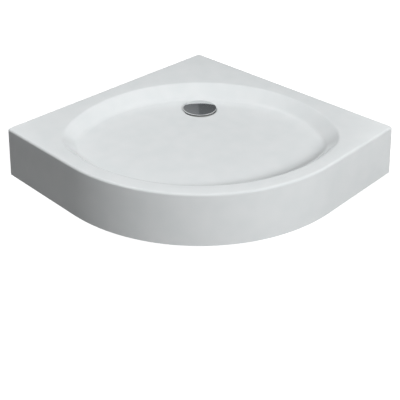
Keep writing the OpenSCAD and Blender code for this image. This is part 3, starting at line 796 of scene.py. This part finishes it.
def domeTree():
    # a round cover whose height follows a sphere, with one more row for the turned-down rim
    tree, given = newTree("domedCover", {
        "Radius": "Float", "Sphere": "Float", "Rim Height": "Float", "Rim Lean": "Float",
        "Rings": "Int", "Around": "Int",
    })
    rows = addNode(tree, "ShaderNodeMath", {0: given["Rings"], 1: 2.0}, operation="ADD")
    grid, around, along = startGrid(tree, rows, given)
    cells = addNode(tree, "ShaderNodeMath", {0: given["Rings"], 1: 1.0}, operation="ADD")
    row = addNode(tree, "ShaderNodeMath", {0: along, 1: cells}, operation="MULTIPLY")
    rim = addNode(tree, "ShaderNodeMath", {0: row, 1: given["Rings"]}, operation="SUBTRACT", use_clamp=True)
    domeRow = addNode(tree, "ShaderNodeMath", {0: row, 1: given["Rings"]}, operation="MINIMUM")
    share = addNode(tree, "ShaderNodeMath", {0: domeRow, 1: given["Rings"]}, operation="DIVIDE")
    onDome = addNode(tree, "ShaderNodeMath", {0: share, 1: given["Radius"]}, operation="MULTIPLY")
    leaning = addNode(tree, "ShaderNodeMath", {0: rim, 1: given["Rim Lean"]}, operation="MULTIPLY")
    radius = addNode(tree, "ShaderNodeMath", {0: onDome, 1: leaning}, operation="SUBTRACT")
    square = addNode(tree, "ShaderNodeMath", {0: onDome, 1: onDome}, operation="MULTIPLY")
    whole = addNode(tree, "ShaderNodeMath", {0: given["Sphere"], 1: given["Sphere"]}, operation="MULTIPLY")
    rest = addNode(tree, "ShaderNodeMath", {0: whole, 1: square}, operation="SUBTRACT")
    domed = addNode(tree, "ShaderNodeMath", {0: rest}, operation="SQRT")
    drop = addNode(tree, "ShaderNodeMath", {0: rim, 1: given["Rim Height"]}, operation="MULTIPLY")
    height = addNode(tree, "ShaderNodeMath", {0: domed, 1: drop}, operation="SUBTRACT")
    return endTree(tree, rollGrid(tree, grid, around, radius, height), given)


trees = {"thread": threadTree(), "ring": ringTree(), "pipe": pipeTree(), "dome": domeTree()}
print("trees:", len(trees))


def onRing(name, piece, count, radius, turn, centres, material):
    grown = grow(name, trees["ring"], {
        "Piece": piece, "Count": count, "Radius": radius, "Turn": turn, "Material": material,
    }, toMesh(name + "Centres", centres, []))
    bpy.data.objects.remove(piece)
    return grown


def ribbed(name, body, outline, thickness, count, place, material, turn=0.0):
    # a body with ribs all round it, each an outline of reach and height
    rib = wedge(name + "Rib", outline, thickness)
    ribs = onRing(name + "Ribs", rib, count, 0.0, turn, [(0, 0, 0)], material)
    ribs.data.transform(place)
    return join(name, body, ribs)


# Board under the basin

board = {"margin": 0.012, "hole": 0.075, "chamfer": 0.0008, "steps": 240, "waySteps": 48}


def boardOutline():
    # the oval of the basin's foot with a margin, and the round way for the waste cut into it from behind
    steps, reach = board["steps"], board["hole"]
    turns = [fullTurn * (i + 0.5) / steps for i in range(steps)]
    ring = [ovalPoint(a, wallWidth(a) + board["margin"]) for a in turns]
    free = [(p - drainPoint).length > reach for p in ring]
    first = next(i for i in range(steps) if free[i] and not free[i - 1])
    last = next(i for i in range(steps) if free[i - 1] and not free[i])
    kept = [ring[(first + i) % steps] for i in range((last - first) % steps)]

    def wayEdge(near, far):
        along = (far - near).normalized()
        closest = near + along * (drainPoint - near).dot(along)
        point = closest - along * math.sqrt(reach ** 2 - (closest - drainPoint).length_squared) - drainPoint
        return math.atan2(point.y, point.x)

    start, end = wayEdge(kept[-1], ring[last]), wayEdge(kept[0], ring[first - 1])
    sweep, waySteps = (start - end) % fullTurn, board["waySteps"]
    return kept + [drainPoint + polar(reach, start - sweep * j / waySteps) for j in range(waySteps + 1)]


def makeBoard():
    low, high = (p.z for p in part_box("base_board"))
    outline = boardOutline()
    piece = prism("chipboardBase", *([(p.x, p.y, z) for p in outline] for z in (low, high)))
    addModifier(piece, "sawnEdge", "BEVEL", width=board["chamfer"], segments=1, limit_method="ANGLE")
    applyModifiers(piece)
    settle(tidyMesh(piece), "tray", "board", "base_board")


makeBoard()


# Screw feet

footNames = ("front_foot", "right_foot", "left_foot", "rear_right_foot", "rear_left_foot")
coneCut = ((0.0, 1.0), (0.3, 0.66), (0.65, 0.33), (1.0, 0.0))  # shares of a chamfer's height and depth
coneDepth = 1.15  # a chamfer's depth, as a share of how far a hexagon's corners stand out


def footPlace(name):
    low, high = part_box(name + "_pad")
    return Matrix.Translation(((low.x + high.x) / 2, (low.y + high.y) / 2, 0))


def hexPrism(name, radius, bore, low, high, chamfer, place, steps=16):
    # a hexagon whose corners are cut back by a cone at both ends
    count = 6 * steps
    turns = [fullTurn * i / count for i in range(count)]
    inner = radius * math.cos(math.pi / 6)
    levels = [(low + chamfer * share, cut) for share, cut in coneCut]
    levels += [(high - chamfer * share, cut) for share, cut in reversed(coneCut)]
    rings = []
    for z, cut in levels:
        limit = radius - (radius - inner) * coneDepth * cut
        ring = []
        for angle in turns:
            off = (angle + math.pi / 6) % (math.pi / 3) - math.pi / 6
            ring.append((*polar(min(inner / math.cos(math.pi / 6 - abs(off)), limit), angle), z))
        rings.append(ring)
    rings += [[(*polar(bore, angle), z) for angle in turns] for z in (high, low)]
    points = [place @ Vector(p) for ring in rings for p in ring]
    return tidyMesh(toMesh(name, points, ringFaces(len(rings), count)), 25)


socket = {
    "radius": 0.025, "plate": 0.003, "boss": 0.011, "bore": 0.00505, "chamfer": 0.0007, "mouth": 0.0008,
    "skirt": 0.001, "ribs": 6, "ribThickness": 0.002, "ribHeight": 0.014,
    "ribReach": 0.0225, "ribFoot": 0.0015, "ribEdge": 0.001, "rooted": 0.0005, "sunk": 0.0002,
}


def makeSocket(name, place):
    low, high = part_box(name + "_socket")
    radius, boss, bore, rim = (socket[label] for label in ("radius", "boss", "bore", "chamfer"))
    skirt, mouth, under = socket["skirt"], socket["mouth"], high.z - socket["plate"]
    profile = rounded(
        [(bore, high.z), (radius - rim, high.z), (radius, high.z - rim), (radius, under + rim),
         (radius - rim, under), (boss + skirt, under), (boss, under - 2 * skirt), (boss, low.z + rim),
         (boss - rim, low.z), (bore + mouth, low.z), (bore, low.z + mouth)],
        [0, 0, 0, 0, skirt, skirt, 0, 0, 0, 0], 3)
    ribRoot, ribTop, ribLow = boss - socket["rooted"], under + socket["sunk"], under - socket["ribHeight"]
    ribOutline = [
        (ribRoot, ribTop), (ribRoot, ribLow), (boss + socket["ribFoot"], ribLow),
        (socket["ribReach"], under - socket["ribEdge"]), (socket["ribReach"], ribTop),
    ]
    piece = ribbed(name + "SocketMoulding", turned(name + "Body", profile, place, 64), ribOutline,
                   socket["ribThickness"], socket["ribs"], place, finishes["black_plastic"])
    settle(piece, "tray", "black_plastic", name + "_socket")


pad = {
    "radius": 0.022, "height": 0.012, "seat": 0.00605, "seatHeight": 0.004, "neck": 0.010, "base": 0.003,
    "slope": 0.002, "edge": 0.001, "rounds": (0.0006, 0.0006, 0.0008, 0.003, 0.0007, 0.0004, 0),
    "grooves": (0.0077, 0.01254, 0.01738), "grooveDepth": 0.0007, "grooveTop": 0.0012, "grooveFoot": 0.0008,
    "ribs": 12, "ribThickness": 0.0012, "ribInset": 0.0018, "ribTop": 0.0006, "rooted": 0.0008,
    "ribEdge": 0.0005, "sunk": 0.0004,
}


def makePad(name, place):
    radius, height, seat, neck, base = (pad[label] for label in ("radius", "height", "seat", "neck", "base"))
    slope, edge, depth = pad["slope"], pad["edge"], pad["grooveDepth"]
    under = []
    for middle in pad["grooves"]:  # concentric grooves grip the floor
        top, foot = pad["grooveTop"], pad["grooveFoot"]
        under += [(middle - top, 0), (middle - foot, depth), (middle + foot, depth), (middle + top, 0)]
    profile = [(0, 0)] + under + rounded(
        [(radius - 2 * edge, 0), (radius - edge, 0), (radius, edge), (radius, base),
         (neck + slope, base + slope), (neck, height), (seat, height), (seat, pad["seatHeight"]),
         (0, pad["seatHeight"])],
        pad["rounds"], 4)
    ribRoot, ribEnd = neck - pad["rooted"], radius - pad["ribInset"]
    ribTop, ribLow = height - slope, base - pad["sunk"]
    ribOutline = [
        (ribRoot, ribTop), (neck + pad["ribTop"], ribTop), (ribEnd, base + pad["ribEdge"]), (ribEnd, ribLow),
        (ribRoot, ribLow),
    ]
    piece = ribbed(name + "PadMoulding", turned(name + "Body", profile, place, 72), ribOutline,
                   pad["ribThickness"], pad["ribs"], place, finishes["black_plastic"])
    settle(piece, name + "_base", "black_plastic", name + "_pad")


stud = {
    "crest": 0.005, "root": 0.00412, "pitch": 0.0015, "rowsPerTurn": 6, "around": 32, "hex": 0.008,
    "flats": 0.009, "chamfer": 0.0009, "core": 0.0001, "lift": 0.0003, "pin": 0.006, "pinRound": 0.0006,
}


def makeStud(name, place):
    low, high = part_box(name + "_stud")
    thread = low.z + pad["height"] - pad["seatHeight"] + stud["flats"]
    length = high.z - thread
    rod = grow(name + "Thread", trees["thread"], {
        "Length": length, "Crest": stud["crest"], "Root": stud["root"], "Pitch": stud["pitch"],
        "Rows": int(length / stud["pitch"] * stud["rowsPerTurn"]), "Around": stud["around"],
        "Material": finishes["zinc"],
    })
    rod.data.transform(place @ Matrix.Translation((0, 0, thread)))
    flatsLow = pad["height"] + stud["lift"]
    flats = hexPrism(name + "Flats", stud["hex"], stud["core"], flatsLow, thread, stud["chamfer"], place)
    pin = turned(name + "Pin", rounded(
        [(0, low.z), (stud["pin"], low.z), (stud["pin"], flatsLow), (0, flatsLow)],
        [stud["pinRound"], 0], 3), place, 48)
    settle(join(name + "ThreadedStud", rod, flats, pin), name + "_screw", "zinc", name + "_stud")


lockNut = {"flats": 0.017, "bore": 0.00505, "chamfer": 0.0009}


def makeLockNut(name, place):
    low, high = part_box(name + "_lock_nut")
    radius = lockNut["flats"] / math.sqrt(3)
    piece = hexPrism(name + "LockNut", radius, lockNut["bore"], low.z, high.z, lockNut["chamfer"], place)
    settle(piece, name + "_jam", "zinc", name + "_lock_nut")


socketScrew = {
    "each": 3, "circle": 0.018, "shank": 0.002, "head": 0.004, "headHeight": 0.002, "flatShare": 0.72,
    "headEdge": 0.0006, "point": 0.001, "rounds": (0.0012, 0.0003, 0, 0, 0.0004),
    "crossArm": 0.0021, "crossHalf": 0.0004, "crossDepth": 0.0011, "crossOver": 0.001,
}


def makeSocketScrews():
    # pan heads with a cross recess, three in each socket, with their shanks in the board
    low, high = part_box("socket_screws")
    head, shank, arm, half = (socketScrew[label] for label in ("head", "shank", "crossArm", "crossHalf"))
    seat = low.z + socketScrew["headHeight"]
    profile = rounded(
        [(0, low.z), (head * socketScrew["flatShare"], low.z), (head, seat - socketScrew["headEdge"]),
         (head, seat), (shank, seat), (shank, high.z - socketScrew["point"]), (0, high.z)],
        socketScrew["rounds"], 4)
    body = turned("screwShape", profile, Matrix.Identity(4), 24)
    over, deep = low.z - socketScrew["crossOver"], low.z + socketScrew["crossDepth"]
    blades = []
    for turn in (0, quarterTurn):
        blade = wedge("blade", [(-arm, over), (arm, over), (half, deep), (-half, deep)], 2 * half)
        blade.data.transform(Matrix.Rotation(turn, 4, "Z"))
        addModifier(body, "cut", "BOOLEAN", operation="DIFFERENCE", solver="EXACT", object=blade)
        blades.append(blade)
    applyModifiers(body)
    for blade in blades:
        bpy.data.objects.remove(blade)
    centres = [footPlace(name).translation for name in footNames]
    piece = onRing("socketScrewSet", body, socketScrew["each"], socketScrew["circle"], quarterTurn, centres,
                   finishes["yellow_zinc"])
    settle(smooth(piece), "tray", "yellow_zinc", "socket_screws")


for footName in footNames:
    spot = footPlace(footName)
    makeSocket(footName, spot)
    makeStud(footName, spot)
    makeLockNut(footName, spot)
    makePad(footName, spot)
makeSocketScrews()
print("feet:", len(footNames))


# Cover, union nut, bend and coupling of the waste

cover = {
    "radius": 0.057, "sheet": 0.0016, "rise": 0.0035, "rim": 0.0031, "lean": 0.001,
    "shoulder": 0.0002, "roll": 0.0004, "rings": 28, "around": 144,
}


def makeCap():
    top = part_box("cap")[1].z
    radius, rise = cover["radius"], cover["rise"]
    sphere = (radius ** 2 + rise ** 2) / (2 * rise)
    dome = grow("domedCap", trees["dome"], {
        "Radius": radius, "Sphere": sphere, "Rim Height": cover["rim"], "Rim Lean": cover["lean"],
        "Rings": cover["rings"], "Around": cover["around"], "Material": finishes["chrome"],
    })
    dome.data.transform(Matrix.Translation((*drainPoint, top - sphere)))
    tidyMesh(dome, 60, False)
    addModifier(dome, "shoulder", "BEVEL", width=cover["shoulder"], segments=5, limit_method="ANGLE")
    addModifier(dome, "sheet", "SOLIDIFY", thickness=cover["sheet"], offset=-1)
    addModifier(dome, "roll", "BEVEL", width=cover["roll"], segments=3, limit_method="ANGLE")
    applyModifiers(dome)
    settle(tidyMesh(dome, 50), "cover", "chrome", "cap")


elbow = {
    "pipe": 0.020, "wall": 0.0022, "start": 0.057, "straight": 0.080, "bendStart": 0.100,
    "bendRadius": 0.038, "angle": math.radians(45), "steps": 24, "end": 0.028, "around": 64,
}


def outletFrame():
    # local Z along the outlet, away from the drain, and local Y up
    low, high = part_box("union_nut")
    axis = (low.z + high.z) / 2
    return Matrix.Translation((*drainPoint, axis)) @ Matrix.Rotation(quarterTurn, 4, "X")


def bendFrame(turn=elbow["angle"]):
    # the same axes carried round the bend
    drop = Matrix.Translation((0, -elbow["bendRadius"], elbow["bendStart"]))
    lift = Matrix.Translation((0, elbow["bendRadius"], 0))
    return outletFrame() @ drop @ Matrix.Rotation(turn, 4, "X") @ lift


unionNut = {
    "radius": 0.0253, "ring": 0.0266, "bore": 0.02305, "end": 0.080, "length": 0.029, "seam": 0.001,
    "lipBore": 0.0203, "lipLength": 0.004, "rounds": (0.0003, 0.0008, 0.0008, 0.0004, 0, 0),
    "teeth": 14, "ringLength": 0.008, "ringInset": 0.0002, "rooted": 0.0006,
    "bevel": 0.0008, "bevelShare": 0.35,
}


def makeUnionNut():
    outer, bore, ring, lipBore = (unionNut[label] for label in ("radius", "bore", "ring", "lipBore"))
    end = unionNut["end"]
    start, lip = end - unionNut["length"], end - unionNut["lipLength"]
    profile = rounded(
        [(bore, start + unionNut["seam"]), (bore, start), (outer, start), (outer, end), (lipBore, end),
         (lipBore, lip), (bore, lip), (bore, start + unionNut["seam"])],
        unionNut["rounds"], 3)
    low, high = end - unionNut["ringLength"], end - unionNut["ringInset"]
    root, bevel = outer - unionNut["rooted"], unionNut["bevel"]
    side = ring - (ring - outer) * unionNut["bevelShare"]
    outline = [(root, low), (side, low), (ring, low + bevel),
               (ring, high - bevel), (side, high), (root, high)]
    place = outletFrame()
    half = math.pi / unionNut["teeth"]
    piece = ribbed("toothedUnionNut", turned("unionBody", profile[:-1], place, 96), outline,
                   half * ring, unionNut["teeth"], place, finishes["white_plastic"], half)
    settle(piece, "outlet_nut", "white_plastic", "union_nut")


def makeBend():
    place = outletFrame()
    spots = [place @ Vector((0, 0, elbow[label])) for label in ("start", "straight")]
    for j in range(elbow["steps"] + 1):
        spots.append(bendFrame(elbow["angle"] * j / elbow["steps"]).translation)
    spots.append(bendFrame() @ Vector((0, 0, elbow["end"])))
    curve = bpy.data.curves.new("bendPath", "CURVE")
    curve.dimensions = "3D"
    spline = curve.splines.new("POLY")
    spline.points.add(len(spots) - 1)
    for point, spot in zip(spline.points, spots):
        point.co = (*spot, 1)
    bend = grow("outletBend", trees["pipe"], {
        "Radius": elbow["pipe"], "Around": elbow["around"], "Material": finishes["white_plastic"],
    }, newPiece("bendCarrier", curve))
    addModifier(bend, "wall", "SOLIDIFY", thickness=elbow["wall"], offset=-1)
    applyModifiers(bend)
    settle(tidyMesh(bend, 40), "outlet_bend", "white_plastic", "elbow")


coupling = {
    "radius": 0.025, "inside": 0.0225, "neck": 0.0225, "bore": 0.02005, "start": 0.007, "length": 0.050,
    "stop": 0.022, "seam": 0.002, "shoulder": 0.006, "mouth": 0.0008, "mouthHeight": 0.0012,
    "rounds": (0.0004, 0.0008, 0.004, 0.001, 0.0004, 0.0005, 0.0008, 0),
}


def makeCoupling():
    radius, inside, bore, low = (coupling[label] for label in ("radius", "inside", "bore", "start"))
    high, stop, seam = low + coupling["length"], low + coupling["stop"], low + coupling["seam"]
    profile = rounded(
        [(bore, seam), (bore, low), (coupling["neck"], low), (radius, low + coupling["shoulder"]),
         (radius, high - coupling["mouthHeight"]), (radius - coupling["mouth"], high), (inside, high),
         (inside, stop), (bore, stop), (bore, seam)],
        coupling["rounds"], 4)
    piece = turned("steppedCoupling", profile[:-1], bendFrame(), 96)
    settle(piece, "outlet_bend", "white_plastic", "outlet_coupling")


makeCap()
makeUnionNut()
makeBend()
makeCoupling()
print("waste ready")


# CAD nodes that keep their shape take the finish of their slot

for row in frame["record"]["subparts"]:
    node = frame["nodes"].get(row["node"])
    if node and not node.hide_render:
        paint(node, finishes[row["material_slot"]])


# Floor, light and camera

studio = {
    "floor": "#B8B8B8", "floorSize": 40, "world": "#F1F4F6", "worldStrength": 0.02,
    "glowNear": 0.75, "glowFar": 1.0, "nearEnds": 1.6, "farStarts": 4.5,
    # a painted pool of light that only reflections see: its place, where it ends and starts, and its glow
    # share there and elsewhere
    "poolPlace": (0.21, -0.42, 0), "poolEnds": 0.85, "poolStarts": 0.25, "poolShare": 0.42, "restShare": 0.12,
}
cards = {  # the strength goes from low to high between a rise below the middle and one above
    "greyCard": {
        "place": (-2.3, 2.3, 1.9), "size": (3.6, 4.4), "edge": 0.35, "rise": 0.9, "low": 0.8, "high": 1.3,
        "tones": ((0.25, "#8C8E90"), (0.495, "#7C7E80"), (0.505, "#646668"), (0.8, "#626466")),
    },
    "overheadCard": {
        "place": (-0.3, 0.3, 3.4), "size": (2.6, 2.6), "edge": 0.3, "rise": 1.0, "low": 0.8, "high": 1.2,
        "tones": ((0.2, "#A2A5A8"), (0.8, "#7E8184")),
    },
}
lampAim = Vector((0, 0, 0.1))
lamps = {  # degrees round from the front to the right and up from the floor, then away, size and watts
    "keySoftbox": {"turn": 31, "lift": 28, "away": 9, "size": 2.4, "power": 600},
    "sideSoftbox": {"turn": 45, "lift": 28, "away": 14, "size": 3.7, "power": 260},
    "backSoftbox": {"turn": 180, "lift": 55, "away": 14, "size": 5.6, "power": 190},
    "cornerSoftbox": {"turn": -135, "lift": 55, "away": 14, "size": 5.6, "power": 1110},
    "underSoftbox": {"turn": 0, "lift": -90, "away": 6, "size": 2.4, "power": 150},
}
photoCamera = {
    "place": (1.5043, -1.5385, 1.3028), "pitch": 0.5279, "heading": math.pi / 4 - 0.0105,
    "lens": 67.75, "sensor": 36, "shiftY": -0.1,
}


def flatSheet(name, width, height):
    corners = [(-width, -height, 0), (width, -height, 0), (width, height, 0), (-width, height, 0)]
    return toMesh(name, [(x / 2, y / 2, z) for x, y, z in corners], [(0, 1, 2, 3)])


def endShader(tree, share, first, second):
    both = addNode(tree, "ShaderNodeMixShader", {0: share, 1: first, 2: second})
    setInputs(tree, tree.nodes["Material Output"], {"Surface": both})


def makeFloor():
    # pale, white from a few metres on, clear from below; the tray gets no light back from it
    # and reflects it as grey, with a painted pool of light in front of the tray that only reflections see
    floor = flatSheet("studioFloor", studio["floorSize"], studio["floorSize"])
    material, tree, shader, place = startMaterial("MattFloor", {
        "Base Color": toLinear(studio["floor"]), "Roughness": 0.9, "Specular IOR Level": 0.0,
        "Emission Color": (1, 1, 1, 1),
    })
    away = addNode(tree, "ShaderNodeVectorMath", {0: place}, operation="LENGTH")
    glow = addNode(tree, "ShaderNodeMapRange", {
        "Value": away.outputs["Value"], "From Min": studio["nearEnds"], "From Max": studio["farStarts"],
        "To Min": studio["glowNear"], "To Max": studio["glowFar"],
    }, interpolation_type="SMOOTHSTEP")
    # painted pool of light: reflections see more glow near the pool's place and less further off
    toPool = addNode(tree, "ShaderNodeVectorMath", {0: place, 1: studio["poolPlace"]}, operation="DISTANCE")
    share = addNode(tree, "ShaderNodeMapRange", {
        "Value": toPool.outputs["Value"], "From Min": studio["poolStarts"], "From Max": studio["poolEnds"],
        "To Min": studio["poolShare"], "To Max": studio["restShare"],
    }, interpolation_type="SMOOTHSTEP")
    path = addNode(tree, "ShaderNodeLightPath")
    seen = addNode(tree, "ShaderNodeMath", {
        0: path.outputs["Is Glossy Ray"], 1: share, 2: path.outputs["Is Camera Ray"],
    }, operation="MULTIPLY_ADD")
    strength = addNode(tree, "ShaderNodeMath", {0: seen, 1: glow}, operation="MULTIPLY")
    setInputs(tree, shader, {"Emission Strength": strength})
    side = addNode(tree, "ShaderNodeNewGeometry")
    clear = addNode(tree, "ShaderNodeBsdfTransparent")
    endShader(tree, side.outputs["Backfacing"], shader, clear)
    paint(floor, material)
    floor.visible_diffuse = False
    floor.visible_shadow = False  # lets the lamp below reach the underside


def makeCard(name, form):
    # a soft-edged grey card that only reflections see: the polished cover shows the one behind
    # as two walls that meet
    width, height = form["size"]
    card = flatSheet(name, width, height)
    material, tree, shader, place = startMaterial("GreyCard", {
        "Base Color": (0, 0, 0, 1), "Specular IOR Level": 0.0,
    })
    parts = addNode(tree, "ShaderNodeSeparateXYZ", {0: place})
    across = addNode(tree, "ShaderNodeMapRange", {
        "Value": parts.outputs["X"], "From Min": -width / 2, "From Max": width / 2,
    })
    tone = addNode(tree, "ShaderNodeValToRGB", {"Fac": across}, form["tones"])
    upwards = addNode(tree, "ShaderNodeMapRange", {
        "Value": parts.outputs["Y"], "From Min": -form["rise"], "From Max": form["rise"],
        "To Min": form["low"], "To Max": form["high"],
    })
    setInputs(tree, shader, {"Emission Color": tone, "Emission Strength": upwards})
    fades = []
    for label, reach in (("X", width / 2), ("Y", height / 2)):
        off = addNode(tree, "ShaderNodeMath", {0: parts.outputs[label]}, operation="ABSOLUTE")
        fades.append(addNode(tree, "ShaderNodeMapRange", {
            "Value": off, "From Min": reach - 2 * form["edge"], "From Max": reach,
            "To Min": 1.0, "To Max": 0.0,
        }, interpolation_type="SMOOTHSTEP"))
    solid = addNode(tree, "ShaderNodeMath", {0: fades[0], 1: fades[1]}, operation="MULTIPLY")
    clear = addNode(tree, "ShaderNodeBsdfTransparent")
    endShader(tree, solid, clear, shader)
    paint(card, material)
    facing = (-Vector(form["place"])).to_track_quat("Z", "Y").to_matrix().to_4x4()
    card.matrix_world = Matrix.Translation(form["place"]) @ facing
    card.visible_camera = card.visible_diffuse = card.visible_shadow = card.visible_transmission = False


def makeWorld():
    world = bpy.data.worlds.new("studioWorld")
    bpy.context.scene.world = world
    world.use_nodes = True
    tree = world.node_tree
    tree.nodes.clear()
    path = addNode(tree, "ShaderNodeLightPath")
    soft = addNode(tree, "ShaderNodeBackground", {
        "Color": toLinear(studio["world"]), "Strength": studio["worldStrength"],
    })
    white = addNode(tree, "ShaderNodeBackground", {"Color": (1, 1, 1, 1), "Strength": 1.0})
    both = addNode(tree, "ShaderNodeMixShader", {0: path.outputs["Is Diffuse Ray"], 1: white, 2: soft})
    addNode(tree, "ShaderNodeOutputWorld", {"Surface": both})


def makeLamps():
    for name, lamp in lamps.items():
        data = bpy.data.lights.new(name, "AREA")
        data.shape = "SQUARE"
        data.size = lamp["size"]
        data.energy = lamp["power"]
        turn = math.radians(lamp["turn"] - 45)  # the front is midway between +X and -Y
        lift = math.radians(lamp["lift"])
        way = Vector((*polar(math.cos(lift), turn), math.sin(lift)))
        holder = newPiece(name, data)
        holder.location = lampAim + way * lamp["away"]
        holder.rotation_euler = (-way).to_track_quat("-Z", "Y").to_euler()
        holder.visible_glossy = False  # polished surfaces show the room and the cards, not the lamps


def makeCamera():
    data = bpy.data.cameras.new("photoCamera")
    data.lens = photoCamera["lens"]
    data.sensor_width = photoCamera["sensor"]
    data.shift_y = photoCamera["shiftY"]
    camera = newPiece("photoCamera", data)
    camera.location = photoCamera["place"]
    camera.rotation_euler = (quarterTurn - photoCamera["pitch"], 0, photoCamera["heading"])
    bpy.context.scene.camera = camera


makeFloor()
for cardName, cardForm in cards.items():
    makeCard(cardName, cardForm)
makeWorld()
makeLamps()
makeCamera()
bpy.context.scene.view_settings.view_transform = "Standard"
print("studio ready")
